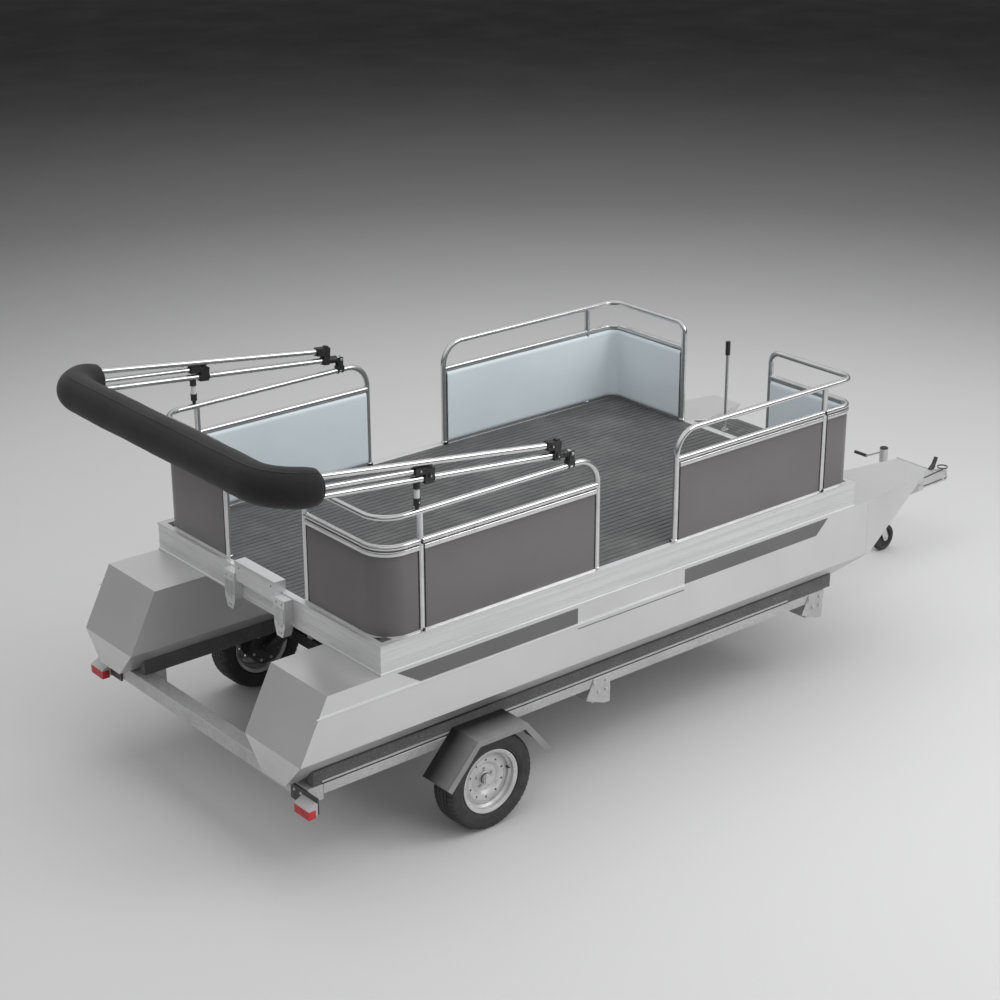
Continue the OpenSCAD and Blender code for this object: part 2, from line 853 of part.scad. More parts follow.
module tyre() {
    half = tyre_w / 2;
    bead = rim_barrel_w / 2 - 12.5;
    side = [[bead_r + seat, bead], [rim_d / 2 + 0.5, bead + 5], [rim_d / 2 + 8, half - 10],
            [rim_d / 2 + 28, half - 3], [rim_d / 2 + 50, half], [wheel_r - 28, half - 2],
            [wheel_r - 9, half - 13], [wheel_r, half - 30]];
    inner = [for (i = [len(side) - 1 : -1 : 0]) [side[i][0], -side[i][1]]];
    rotate_extrude($fn = round_fn * 2) polygon(concat(side, inner));
}

module rim_port() {
    color("silver") place() on_axle() rim();
}

module rim_starboard() {
    color("silver") place() starboard() on_axle() rim();
}

module tyre_port() {
    color("black") place() on_axle() tyre();
}

module tyre_starboard() {
    color("black") place() starboard() on_axle() tyre();
}

// ---- Mudguards ----

module guard_band(drop) {
    p = guard_path;
    polygon(concat(p, [for (i = [3 : -1 : 0]) p[i] + drop * guard_inward(i)]));
}

// Unit directions from the folded line towards the wheel, at its four points
function guard_inward(i) = [[0.73, -0.68], [0.41, -0.91], [-0.42, -0.91], [-0.77, -0.64]][i];

module mudguard() {
    translate([0, guard_y, 0]) rotate([90, 0, 0]) {
        linear_extrude(guard_y - guard_in) guard_band(guard_t);
        linear_extrude(guard_t) guard_band(lip_h);
    }
    box_at([guard_path[1][0] + 10, guard_path[2][0] - 10], [guard_in, guard_in + guard_t],
           [min(rail_top - 20, guard_top - guard_t - lip_h),
            max(rail_top, guard_top - guard_t)]);
}

module mudguard_port() {
    color("lightgray") place() mudguard();
}

module mudguard_starboard() {
    color("lightgray") place() starboard() mudguard();
}

// ---- Tail lamps ----

lamp_w = 140;
lamp_h = 92;
lamp_d = 62;
lamp_y = 1011;
lamp_bottom = 450;
bracket_plate = 12;

module tail_lamps() {
    front = rear_beam_x - bracket_plate;
    color("firebrick") place() both_sides()
        box_at([front - lamp_d, front], [lamp_y, lamp_y + lamp_w],
               [lamp_bottom, lamp_bottom + lamp_h]);
}

module lamp_brackets() {
    color("dimgray") place() both_sides()
        box_at([rear_beam_x - bracket_plate, rear_beam_x], [rail_out - 150, lamp_y + lamp_w - 6],
               [lamp_bottom + 12, lamp_bottom + lamp_h + 14]);
}

// ---- Coupling ----

ball_r = 25;
ball_x = nose_x - 38;
socket_bottom = cross_bottom - 8;
socket_top = cross_bottom + 38;
shank_half = 42;

module coupling() {
    color("lightgray") place() difference() {
        union() {
            box_at([bar_end, bar_end + 60], [-bar_end_y - bar_w / 2, bar_end_y + bar_w / 2],
                   [cross_bottom, rail_bottom]);
            side_profile([[bar_end + 59, cross_bottom - 8], [ball_x, socket_bottom],
                          [ball_x, cross_bottom + 62], [ball_x - 60, cross_bottom + 76],
                          [bar_end + 190, rail_bottom + 8], [bar_end + 59, rail_bottom + 14]],
                         -shank_half + 6, shank_half - 6);
            post(ball_x, 0, socket_bottom, cross_bottom + 62, 38);
        }
        post(ball_x, 0, socket_bottom - 1, socket_top, ball_r + 0.5);
    }
}

lever_x = bar_end + 236;

module coupling_lever() {
    color("dimgray") place() side_profile(
        [[lever_x - 40, rail_bottom + 7], [lever_x + 6, rail_bottom + 2],
         [lever_x + 22, rail_bottom + 34], [lever_x + 46, rail_bottom + 88],
         [lever_x + 32, rail_bottom + 92], [lever_x + 6, rail_bottom + 40]], -14, 14);
}

module handbrake_lever() {
    color("gray") place() translate([bar_end + 178, 0, rail_bottom + 16])
        rotate([0, -90 + 26, 0]) cylinder(h = 396, r = 8, $fn = round_fn);
}

// ---- Jockey wheel ----

clamp_low = cross_bottom + 40;
clamp_high = cross_bottom + 95;
clamp_half = 28;

function clamp_y(x) = bar_y(x) - bar_w / 2 - seat;

module jockey_tube() {
    a = jockey_x - clamp_half;
    b = jockey_x + clamp_half;
    color("silver") place() difference() {
        union() {
            post(jockey_x, 0, jockey_bottom, jockey_top, jockey_tube_r);
            translate([0, 0, clamp_low]) linear_extrude(clamp_high - clamp_low)
                polygon([[a, -clamp_y(a)], [b, -clamp_y(b)], [b, clamp_y(b)], [a, clamp_y(a)]]);
        }
        post(jockey_x, 0, jockey_bottom - 40, jockey_top - 14, stem_r + run);
    }
}

crank_slope = 27;

module jockey_crank() {
    z = jockey_top - 46;
    color("dimgray") place() {
        bar_y_axis(jockey_tube_r + seat, 44, jockey_x, z, 8);
        translate([jockey_x, 40, z]) rotate([-90 - crank_slope, 0, 0])
            cylinder(h = 116 / cos(crank_slope), r = 6, $fn = round_fn);
        bar_y_axis(152, 162, jockey_x, z - 116 * tan(crank_slope), 8);
        bar_y_axis(160, 268, jockey_x, z - 116 * tan(crank_slope), 12);
    }
}

module jockey_stem() {
    color("silver") place() difference() {
        post(jockey_x, 0, stem_bottom, stem_top, stem_r);
        post(jockey_x, 0, stem_bottom - 1, stem_bottom + swivel_len, swivel_r + run);
    }
}

module jockey_fork() {
    wx = jockey_x + jockey_trail;
    color("silver") place() {
        post(jockey_x, 0, crown_top - crown_t, crown_top, cheek_y + cheek_t);
        post(jockey_x, 0, crown_top - 1, crown_top + swivel_len - 4, swivel_r);
        both_sides() side_profile([[jockey_x - 24, crown_top - 2], [jockey_x - 20, jockey_r * 1.9],
                                   [wx - 22, jockey_r - 12], [wx - 8, jockey_r - 22],
                                   [wx + 14, jockey_r - 16], [wx + 22, jockey_r + 6],
                                   [jockey_x + 34, jockey_r * 2.05],
                                   [jockey_x + 22, crown_top - 2]], cheek_y, cheek_y + cheek_t);
        bar_y_axis(-cheek_y - cheek_t - 6, cheek_y + cheek_t + 6, wx, jockey_r, jockey_axle_r);
    }
}

module jockey_wheel() {
    half = jockey_w / 2;
    color("black") place() translate([jockey_x + jockey_trail, 0, jockey_r])
        rotate([-90, 0, 0]) rotate_extrude($fn = round_fn * 2)
            polygon([[jockey_axle_r + run, -half - 2], [24, -half - 2], [24, -half + 12],
                     [62, -half + 12], [66, -half + 2], [84, -half],
                     [jockey_r - 4, -half + 7], [jockey_r, -half + 15], [jockey_r, half - 15],
                     [jockey_r - 4, half - 7], [84, half], [66, half - 2], [62, half - 12],
                     [24, half - 12], [24, half + 2], [jockey_axle_r + run, half + 2]]);
}

pontoon_port();
pontoon_starboard();
deck_frame();
deck_floor();
bow_platform();
outboard_bracket();
fence_stern_port();
fence_stern_starboard();
fence_bow_port();
fence_bow_starboard();
panel_stern_port();
panel_stern_starboard();
panel_bow_port();
panel_bow_starboard();
bow_pole();
bow_pole_grip();
bimini_mounts();
bimini_rests();
bimini_lower_bow();
bimini_upper_bow();
bimini_short_bow();
bimini_fittings();
bimini_boot();
side_rails();
cross_members();
bunk_brackets();
drawbar();
bunks_port();
bunks_starboard();
axle();
suspension_arms();
hub_port();
hub_starboard();
rim_port();
rim_starboard();
tyre_port();
tyre_starboard();
mudguard_port();
mudguard_starboard();
tail_lamps();
lamp_brackets();
coupling();
coupling_lever();
handbrake_lever();
jockey_tube();
jockey_crank();
jockey_stem();
jockey_fork();
jockey_wheel();
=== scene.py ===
"""The looks of a pontoon boat on its trailer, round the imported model. Metres, +X to the bow."""
import json
import math
import bmesh
import bpy
from mathutils import Matrix, Vector, noise

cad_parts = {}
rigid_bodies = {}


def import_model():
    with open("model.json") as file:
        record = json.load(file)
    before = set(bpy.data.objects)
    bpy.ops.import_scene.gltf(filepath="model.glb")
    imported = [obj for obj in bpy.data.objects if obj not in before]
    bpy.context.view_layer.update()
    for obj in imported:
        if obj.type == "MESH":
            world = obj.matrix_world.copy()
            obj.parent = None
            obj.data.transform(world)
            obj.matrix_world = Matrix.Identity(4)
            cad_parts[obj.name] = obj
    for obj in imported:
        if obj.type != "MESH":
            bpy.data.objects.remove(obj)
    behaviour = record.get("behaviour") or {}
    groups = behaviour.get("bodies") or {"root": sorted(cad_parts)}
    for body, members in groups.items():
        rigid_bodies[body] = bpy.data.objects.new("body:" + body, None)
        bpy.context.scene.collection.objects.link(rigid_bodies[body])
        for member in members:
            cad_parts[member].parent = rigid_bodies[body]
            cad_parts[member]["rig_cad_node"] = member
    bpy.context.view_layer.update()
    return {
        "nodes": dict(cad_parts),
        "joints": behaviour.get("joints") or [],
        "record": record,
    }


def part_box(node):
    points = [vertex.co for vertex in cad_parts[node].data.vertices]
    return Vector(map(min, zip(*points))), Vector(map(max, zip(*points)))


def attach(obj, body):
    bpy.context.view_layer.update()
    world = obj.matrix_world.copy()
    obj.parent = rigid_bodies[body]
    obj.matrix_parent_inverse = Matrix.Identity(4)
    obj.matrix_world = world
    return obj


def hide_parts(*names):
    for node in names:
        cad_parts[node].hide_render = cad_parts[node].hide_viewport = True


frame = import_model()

NODES = frame["nodes"]
HULL = "boat_and_trailer"
Z = Vector((0, 0, 1))

# ---- Lines of the boat, measured from the stern edge of the deck where a name says so ----

DECK_LOW, DECK_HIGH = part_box("deck_frame")
STERN = DECK_LOW.x
DECK_LEN = DECK_HIGH.x - STERN
HALF_BEAM = DECK_HIGH.y
DECK_TOP = DECK_HIGH.z
FASCIA_LOW = DECK_LOW.z
FLOOR_LOW, FLOOR_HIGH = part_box("deck_floor")
TUBE_R = 0.018
FENCE_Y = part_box("fence_stern_port")[1].y - TUBE_R
STERN_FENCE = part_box("fence_stern_port")[1].x - TUBE_R - STERN
BOW_FENCE = DECK_LEN - (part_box("fence_bow_port")[0].x + TUBE_R - STERN)
END_INSET = 0.044
GATE_HALF = 0.400
MID_POST = 0.300
STERN_CORNER = 0.150
BOW_CORNER = 0.090
MID_RAIL_Z = 1.818
TOP_RAIL_Z = 1.988
PANEL_LOW, PANEL_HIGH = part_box("panel_stern_port")
PANEL_HALF = 0.008
HINGE = Vector(next(j for j in frame["joints"] if j["name"] == "bimini_raise")["pos_m"])
STOW_TILT = math.radians(5.7)
STOW_LEN = 1.951
FAN = math.radians(1.7)
BOW_GAP = 0.0575
BOW_R = 0.019
SHORT_R = 0.015
SHORT_Z = 0.048
BIMINI_R = 0.240
BOOT_LEG = 1.722
BOOT_R = 0.110
BOOT_Z = (BOW_GAP + STOW_LEN * math.sin(FAN)) / 2
WHEEL = Vector(next(j for j in frame["joints"] if j["name"] == "wheel_port_spin")["pos_m"])
PONTOON_SIDE = 1.127
CHINE_TOP = 1.0172


# ---- Finishes ----

class Finish:
    """One Principled material that layers of noise, waves and masks build up."""

    def __init__(self, name, colour, roughness, metallic=0.0, **sockets):
        self.material = bpy.data.materials.new(name)
        self.material.use_nodes = True
        tree = self.material.node_tree
        self.nodes, self.links = tree.nodes, tree.links
        self.shader = self.nodes["Principled BSDF"]
        self.base = (*colour, 1.0)
        self.shader.inputs["Base Color"].default_value = self.base
        self.shader.inputs["Roughness"].default_value = roughness
        self.shader.inputs["Metallic"].default_value = metallic
        for socket, value in sockets.items():
            self.shader.inputs[socket.replace("_", " ").title()].default_value = value
        self.place = self.nodes.new("ShaderNodeTexCoord").outputs["Object"]

    def _put(self, node, values):
        for socket, value in values.items():
            if isinstance(value, bpy.types.NodeSocket):
                self.links.new(value, node.inputs[socket])
            else:
                node.inputs[socket].default_value = value
        return node

    def _stretched(self, stretch):
        node = self.nodes.new("ShaderNodeMapping")
        return self._put(node, {"Vector": self.place, "Scale": stretch}).outputs["Vector"]

    def noise(self, scale, detail=3.0, stretch=(1, 1, 1)):
        node = self.nodes.new("ShaderNodeTexNoise")
        values = {"Vector": self._stretched(stretch), "Scale": scale, "Detail": detail}
        return self._put(node, values).outputs["Fac"]

    def cells(self, scale, stretch=(1, 1, 1), output="Distance"):
        node = self.nodes.new("ShaderNodeTexVoronoi")
        values = {"Vector": self._stretched(stretch), "Scale": scale}
        return self._put(node, values).outputs[output]

    def waves(self, scale, axis, distortion=0.0):
        node = self.nodes.new("ShaderNodeTexWave")
        node.bands_direction = axis
        values = {"Vector": self.place, "Scale": scale, "Distortion": distortion}
        return self._put(node, values).outputs["Fac"]

    def along(self, axis):
        node = self._put(self.nodes.new("ShaderNodeSeparateXYZ"), {"Vector": self.place})
        return node.outputs[axis]

    def span(self, value, low, high, to_low=0.0, to_high=1.0):
        """value from low to high, mapped to to_low to to_high and held there past its ends."""
        node = self.nodes.new("ShaderNodeMapRange")
        values = {"Value": value, "From Min": low, "From Max": high, "To Min": to_low,
                  "To Max": to_high}
        return self._put(node, values).outputs["Result"]

    def times(self, one, other):
        node = self.nodes.new("ShaderNodeMath")
        node.operation = "MULTIPLY"
        self.links.new(one, node.inputs[0])
        self.links.new(other, node.inputs[1])
        return node.outputs[0]

    def tint(self, mask, colour):
        """The colour so far, mixed with another one where mask is 1."""
        node = self.nodes.new("ShaderNodeMix")
        node.data_type = "RGBA"
        linked = self.shader.inputs["Base Color"].links
        if linked:
            self.links.new(linked[0].from_socket, node.inputs[6])
        else:
            node.inputs[6].default_value = self.base
        node.inputs[7].default_value = (*colour, 1.0)
        self.links.new(mask, node.inputs[0])
        self.links.new(node.outputs[2], self.shader.inputs["Base Color"])
        return self

    def polish(self, mask, low, high):
        """Roughness low where mask is 0.3 or less, and high where it is 0.7 or more."""
        self.links.new(self.span(mask, 0.3, 0.7, low, high), self.shader.inputs["Roughness"])
        return self

    def fade(self, stops):
        """Grey levels by distance from the middle of the object."""
        length = self.nodes.new("ShaderNodeVectorMath")
        length.operation = "LENGTH"
        self.links.new(self.place, length.inputs[0])
        far = stops[-1][0]
        ramp = self.nodes.new("ShaderNodeValToRGB")
        ramp.color_ramp.interpolation = "B_SPLINE"
        while len(ramp.color_ramp.elements) < len(stops):
            ramp.color_ramp.elements.new(0.5)
        for element, (distance, value) in zip(ramp.color_ramp.elements, stops):
            element.position = distance / far
            element.color = (value, value, value, 1)
        self.links.new(self.span(length.outputs["Value"], 0, far), ramp.inputs["Fac"])
        self.links.new(ramp.outputs["Color"], self.shader.inputs["Base Color"])
        return self

    def metal(self, mask, low, high):
        self.links.new(self.span(mask, 0, 1, low, high), self.shader.inputs["Metallic"])
        return self

    def bump(self, height, distance, strength=1.0):
        node = self.nodes.new("ShaderNodeBump")
        node.inputs["Distance"].default_value = distance
        node.inputs["Strength"].default_value = strength
        linked = self.shader.inputs["Normal"].links
        if linked:
            self.links.new(linked[0].from_socket, node.inputs["Normal"])
        self.links.new(height, node.inputs["Height"])
        self.links.new(node.outputs["Normal"], self.shader.inputs["Normal"])
        return self


def grey(value, warm=0.0):
    return (value * (1 + warm), value, value * (1 - warm))


def hull_paint():
    f = Finish("hull_paint", grey(0.68), 0.36, 0.75)
    broad, fine = f.noise(1.3, 4), f.noise(240, 2)
    f.tint(f.span(broad, 0.40, 0.75), grey(0.64))
    near_chine = f.span(f.along("Z"), 0.60, 0.80, 1, 0)
    f.tint(f.times(near_chine, f.span(f.noise(5, 6, (0.6, 0.6, 3)), 0.42, 0.75)), grey(0.58, 0.02))
    return f.polish(broad, 0.30, 0.42).bump(f.noise(2.2, 3), 0.0022, 0.35).bump(fine, 0.0001, 0.3)


def brushed(name, value, roughness, axis_stretch, metallic=0.55):
    """Drawn aluminium with its grain along the axis that is stretched least."""
    f = Finish(name, grey(value, -0.004), roughness, metallic)
    grain, broad = f.noise(30, 4, axis_stretch), f.noise(2.2, 4)
    f.tint(f.span(grain, 0.45, 0.80), grey(value * 0.86))
    f.tint(f.times(f.span(broad, 0.5, 0.75), f.span(f.noise(16, 4), 0.4, 0.7)), grey(value * 0.92))
    return f.polish(grain, roughness - 0.07, roughness + 0.10).bump(grain, 0.00025, 0.5)


def rail_metal():
    f = Finish("rail_tube", grey(0.68), 0.19, 0.94)
    smears, dust = f.noise(9, 5), f.noise(320, 2)
    f.tint(f.span(smears, 0.45, 0.8), grey(0.58))
    return f.polish(smears, 0.13, 0.26).bump(dust, 0.00006, 0.4)


def deck_mat():
    f = Finish("deck_mat", grey(0.072, -0.01), 0.62)
    scuffs, grit = f.noise(3.5, 6), f.noise(420, 2)
    f.tint(f.span(scuffs, 0.45, 0.8), grey(0.125))
    f.tint(f.span(f.noise(60, 4, (0.15, 1, 1)), 0.55, 0.85), grey(0.15))
    return f.polish(scuffs, 0.50, 0.75).bump(grit, 0.0005, 0.6)


def panel(name, colour, dark, roughness):
    """Painted sheet with the slightest of waves in it."""
    f = Finish(name, colour, roughness, coat_weight=0.1, coat_roughness=0.3)
    broad = f.noise(1.7, 4)
    f.tint(f.span(broad, 0.40, 0.78), dark)
    return f.polish(broad, roughness - 0.06, roughness + 0.08).bump(
        f.noise(2.8, 2), 0.003, 0.3).bump(f.noise(700, 2), 0.00008, 0.5)


def moulding():
    f = Finish("black_plastic", grey(0.016), 0.42)
    grain = f.noise(900, 2)
    f.tint(f.span(f.noise(30, 4), 0.5, 0.8), grey(0.032))
    return f.polish(f.noise(40, 3), 0.34, 0.52).bump(grain, 0.0002, 0.5)


def canvas():
    """Woven acrylic cloth: warp and weft threads under a soft sheen."""
    f = Finish("boot_fabric", grey(0.008, 0.01), 0.80, sheen_weight=0.14, sheen_roughness=0.40)
    threads = f.times(f.waves(190, "Y"), f.waves(190, "DIAGONAL"))
    fade, slub = f.noise(2.4, 5), f.noise(60, 4, (1, 0.1, 1))
    f.tint(f.span(fade, 0.40, 0.75), grey(0.013))
    f.tint(f.times(f.span(slub, 0.5, 0.8), threads), grey(0.026))
    return f.polish(fade, 0.74, 0.9).bump(threads, 0.0006, 0.6).bump(f.noise(14, 4), 0.004, 0.25)


def zinc(name, value, roughness, spangle):
    """Zinc-coated steel: pale crystals and duller patches."""
    f = Finish(name, grey(value), roughness, 0.55)
    crystals, cloud = f.cells(spangle, output="Color"), f.noise(5, 6)
    f.tint(f.span(crystals, 0.35, 0.9), grey(value * 0.84))
    f.tint(f.span(cloud, 0.5, 0.8), grey(value * 0.78, 0.01))
    return f.polish(cloud, roughness - 0.05, roughness + 0.15).bump(crystals, 0.00025, 0.35)


def carpet():
    f = Finish("bunk_carpet", grey(0.050), 0.95, sheen_weight=0.3, sheen_roughness=0.6)
    pile, patches = f.noise(520, 3), f.noise(11, 6)
    f.tint(f.span(patches, 0.40, 0.72), grey(0.075))
    f.tint(f.span(f.noise(160, 2), 0.62, 0.72), grey(0.24))
    f.tint(f.span(pile, 0.55, 0.8), grey(0.10))
    return f.bump(pile, 0.0022, 0.9).bump(patches, 0.004, 0.5)


def dark_paint():
    f = Finish("axle_paint", grey(0.040), 0.45, 0.1)
    chips = f.span(f.noise(26, 6), 0.62, 0.72)
    f.tint(f.span(f.noise(7, 5), 0.45, 0.75), grey(0.065, 0.03))
    return f.tint(chips, grey(0.15, 0.08)).polish(f.noise(12, 4), 0.36, 0.62).bump(chips, -0.0003)


def rim_paint():
    f = Finish("rim_silver", grey(0.60), 0.30, 0.45)
    dust = f.noise(14, 6)
    f.tint(f.span(dust, 0.42, 0.75), grey(0.50, 0.01))
    return f.polish(dust, 0.26, 0.42).bump(f.noise(500, 2), 0.00008, 0.4)


def tyre_rubber():
    f = Finish("tyre_rubber", grey(0.024), 0.66)
    dust = f.noise(22, 6)
    f.tint(f.span(dust, 0.42, 0.75), grey(0.050, 0.03))
    return f.polish(dust, 0.55, 0.82).bump(f.noise(380, 3), 0.0004, 0.6)


def lens():
    f = Finish("lamp_lens", (0.50, 0.012, 0.018), 0.16, coat_weight=0.4)
    f.tint(f.span(f.noise(35, 3), 0.4, 0.7), (0.36, 0.008, 0.012))
    return f.polish(f.noise(60, 3), 0.10, 0.25).bump(f.waves(55, "Y"), 0.0012, 0.8)


def crank_finish():
    """Zinc on the arm and black rubber on its grip, which starts where Y is 0.160."""
    f = zinc("crank_zinc", 0.55, 0.34, 220)
    f.material.name = "jockey_crank_finish"
    grip = f.span(f.along("Y"), 0.1592, 0.1600)
    return f.tint(grip, grey(0.02)).metal(grip, 0.6, 0.0)


OUTER_PANEL = panel("panel_outer", (0.135, 0.128, 0.130), (0.118, 0.112, 0.113), 0.40)
INNER_PANEL = panel("panel_inner", (0.64, 0.71, 0.745), (0.59, 0.66, 0.70), 0.36)
SKINS = {
    "hull_paint": hull_paint(),
    "fascia_alu": brushed("fascia_alu", 0.66, 0.34, (0.03, 0.03, 1)),
    "rail_tube": rail_metal(),
    "deck_mat": deck_mat(),
    "panel_skin": OUTER_PANEL,
    "black_plastic": moulding(),
    "boot_fabric": canvas(),
    "galvanised": zinc("galvanised", 0.53, 0.42, 90),
    "bunk_carpet": carpet(),
    "axle_paint": dark_paint(),
    "rim_silver": rim_paint(),
    "tyre_rubber": tyre_rubber(),
    "lamp_lens": lens(),
    "zinc_tube": zinc("zinc_tube", 0.60, 0.30, 220),
    "pole_steel": brushed("pole_steel", 0.55, 0.25, (1, 1, 0.03), 0.8),
    "jockey_rubber": tyre_rubber(),
}
CRANK = crank_finish()
STRIPE = panel("stripe_film", grey(0.115), grey(0.10), 0.33)
SEAM = brushed("seam_bead", 0.78, 0.28, (0.03, 1, 1), 0.4)
HOUSING = panel("lamp_housing", grey(0.42), grey(0.36), 0.40)
SLEEVE = panel("prop_sleeve", grey(0.62), grey(0.52), 0.35)


# ---- Shapes ----

def arc(centre, radius, start, end, steps):
    """Points of an arc in a plane, with its angles in degrees."""
    turns = [math.radians(start + (end - start) * i / steps) for i in range(steps + 1)]
    return [(centre[0] + radius * math.cos(a), centre[1] + radius * math.sin(a)) for a in turns]


def rounded(width, height, radius, steps=3):
    """A rectangle with round corners, centred at zero."""
    a, b = width / 2 - radius, height / 2 - radius
    corners = [(a, b, 0), (-a, b, 90), (-a, -b, 180), (a, -b, 270)]
    return [p for x, y, turn in corners for p in arc((x, y), radius, turn, turn + 90, steps)]


def frame_at(origin, normal, up=Z):
    """A matrix whose Z is normal, with its Y as near to up as it can be."""
    z = Vector(normal).normalized()
    x = Vector(up).cross(z)
    x = x.normalized() if x.length > 1e-6 else Vector((1, 0, 0))
    y = z.cross(x)
    return Matrix.Translation(origin) @ Matrix((x, y, z)).transposed().to_4x4()


class Piece:
    """Closed shapes that become one object."""

    def __init__(self):
        self.mesh = bmesh.new()

    def _skin(self, rows, closed, capped=True):
        """Quads between rows of points; each row is a ring."""
        rings = [[self.mesh.verts.new(p) for p in row] for row in rows]
        pairs = list(zip(rings, rings[1:])) + ([(rings[-1], rings[0])] if closed else [])
        for a, b in pairs:
            for i in range(len(a)):
                j = (i + 1) % len(a)
                self.mesh.faces.new((a[i], a[j], b[j], b[i]))
        if capped and not closed:
            self.mesh.faces.new(list(reversed(rings[0])))
            self.mesh.faces.new(rings[-1])

    def block(self, low, high, radius=0.0, axis=2, place=Matrix()):
        """A box between two corners, with its edges along one axis rounded."""
        size = [high[i] - low[i] for i in range(3)]
        middle = [(high[i] + low[i]) / 2 for i in range(3)]
        u, v = [(1, 2), (2, 0), (0, 1)][axis]
        radius = min(radius, size[u] / 2.001, size[v] / 2.001)
        outline = rounded(size[u], size[v], radius) if radius else [
            (size[u] / 2, size[v] / 2), (-size[u] / 2, size[v] / 2),
            (-size[u] / 2, -size[v] / 2), (size[u] / 2, -size[v] / 2)]
        rows = []
        for end in (low[axis], high[axis]):
            row = []
            for a, b in outline:
                point = [0, 0, 0]
                point[axis], point[u], point[v] = end, middle[u] + a, middle[v] + b
                row.append(place @ Vector(point))
            rows.append(row)
        self._skin(rows, False)
        return self

    def prism(self, outline, place, depth):
        """An outline in the XY plane of place, extruded along its Z."""
        self._skin([[place @ Vector((x, y, z)) for x, y in outline] for z in (0, depth)], False)
        return self

    def lathe(self, outline, place, steps=32, shape=None):
        """(radius, height) points turned round the Z axis of place; the outline is closed."""
        rows = []
        for i in range(steps):
            turn = 2 * math.pi * i / steps
            row = []
            for j, (r, h) in enumerate(outline):
                r = shape(i, j, r) if shape else max(r, 1e-5)
                row.append(place @ Vector((r * math.cos(turn), r * math.sin(turn), h)))
            rows.append(row)
        self._skin(rows, True)
        return self

    def sweep(self, path, section, up=Z, closed=False):
        """A closed section, as (sideways, up) points, along a path square to up."""
        path = [Vector(p) for p in path]
        count, rows = len(path), []
        for i, point in enumerate(path):
            before = path[i - 1] if closed or i else None
            after = path[(i + 1) % count] if closed or i < count - 1 else None
            one = (point - before).normalized() if before else (after - point).normalized()
            two = (after - point).normalized() if after else one
            along = (one + two).normalized()
            side = along.cross(up).normalized() / max(0.3, along.dot(one))
            rows.append([point + side * a + Vector(up) * b for a, b in section])
        self._skin(rows, closed)
        return self

    def tube_ring(self, ring, radius, sides=6):
        """A thin cord along a closed ring of points."""
        centre = sum(ring, Vector()) / len(ring)
        rows = []
        for i, point in enumerate(ring):
            along = (ring[(i + 1) % len(ring)] - ring[i - 1]).normalized()
            out = (point - centre).normalized()
            side = along.cross(out).normalized()
            rows.append([point + out * radius * math.cos(2 * math.pi * k / sides)
                         + side * radius * math.sin(2 * math.pi * k / sides) for k in range(sides)])
        self._skin(rows, True)

    def hexagon(self, centre, normal, across, height, washer=1.0):
        """A bolt's head with its chamfer, on a washer."""
        place = frame_at(centre, normal)
        r = across / 2 / math.cos(math.pi / 6)
        head = [(r * math.cos(math.pi / 3 * i), r * math.sin(math.pi / 3 * i)) for i in range(6)]
        rows = [[place @ Vector((x * k, y * k, z)) for x, y in head]
                for z, k in ((0, 1), (height * 0.8, 1), (height, 0.86))]
        self._skin(rows, False)
        if washer > 1:
            wide, thick = r * washer, height * 0.2
            self.lathe([(1e-5, 0), (wide, 0), (wide, thick), (1e-5, thick)], place, 20)
        return self

    def done(self, name, body, slot, finish=None, edge=0.0, smooth=32):
        """Makes the object in its slot's finish or another, and rides it on its body."""
        bmesh.ops.remove_doubles(self.mesh, verts=self.mesh.verts, dist=4e-5)
        bmesh.ops.recalc_face_normals(self.mesh, faces=self.mesh.faces)
        data = bpy.data.meshes.new(name)
        self.mesh.to_mesh(data)
        self.mesh.free()
        data.shade_smooth()
        data.set_sharp_from_angle(angle=math.radians(smooth))
        made = bpy.data.objects.new(name, data)
        bpy.context.scene.collection.objects.link(made)
        data.materials.append((finish or SKINS[slot]).material)
        if edge:
            soften(made, edge)
        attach(made, body)
        return made


def soften(obj, width):
    """Rounds an object's sharp edges."""
    if "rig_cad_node" in obj:
        weld = obj.modifiers.new("weld", "WELD")
        weld.merge_threshold = 0.00005
    bevel = obj.modifiers.new("edge", "BEVEL")
    bevel.width, bevel.segments = width, 2
    bevel.limit_method, bevel.angle_limit = "ANGLE", math.radians(35)
    bevel.use_clamp_overlap = True
    bevel.harden_normals = True


SIDES = {"port": 1, "starboard": -1}


# ---- Carried-over nodes ----

def guard_zinc_painted_shade(side):
    """The mudguards' zinc with patchy tone, and painted shade: it darkens to near black towards the
    boat, for the shadow that the hull casts there.
    """
    f = Finish(f"guard_{side}", grey(0.33), 0.50, 0.60)
    y = 1.245 * SIDES[side]
    f.tint(f.span(f.noise(6, 5), 0.4, 0.7), grey(0.27))
    # painted shade: near-black towards the boat, for the hull's shadow on the mudguard
    f.tint(f.span(f.along("Y"), y, y * 0.88), grey(0.035))
    return f.bump(f.noise(90, 3), 0.0004, 0.3)


def dress_nodes():
    """Gives each carried-over node its finish, and some of them softer edges."""
    slots = {part["node"]: part["material_slot"] for part in frame["record"]["subparts"]}
    for name, node in NODES.items():
        finish = CRANK if name == "jockey_crank" else SKINS[slots[name]]
        # the mudguards get zinc with painted shade towards the boat
        if name.startswith("mudguard"):
            finish = guard_zinc_painted_shade(name.split("_")[1])
        for slot in node.material_slots:
            slot.material = finish.material
    edges = {"deck_frame": 0.003, "bow_platform": 0.003, "cross_members": 0.004,
             "side_rails": 0.005, "bunks_port": 0.005, "bunks_starboard": 0.005,
             "drawbar": 0.005, "axle": 0.004, "bunk_brackets": 0.002, "mudguard_port": 0.001,
             "mudguard_starboard": 0.001, "lamp_brackets": 0.002, "coupling_lever": 0.002}
    for name, width in edges.items():
        soften(NODES[name], width)


# ---- Hull ----

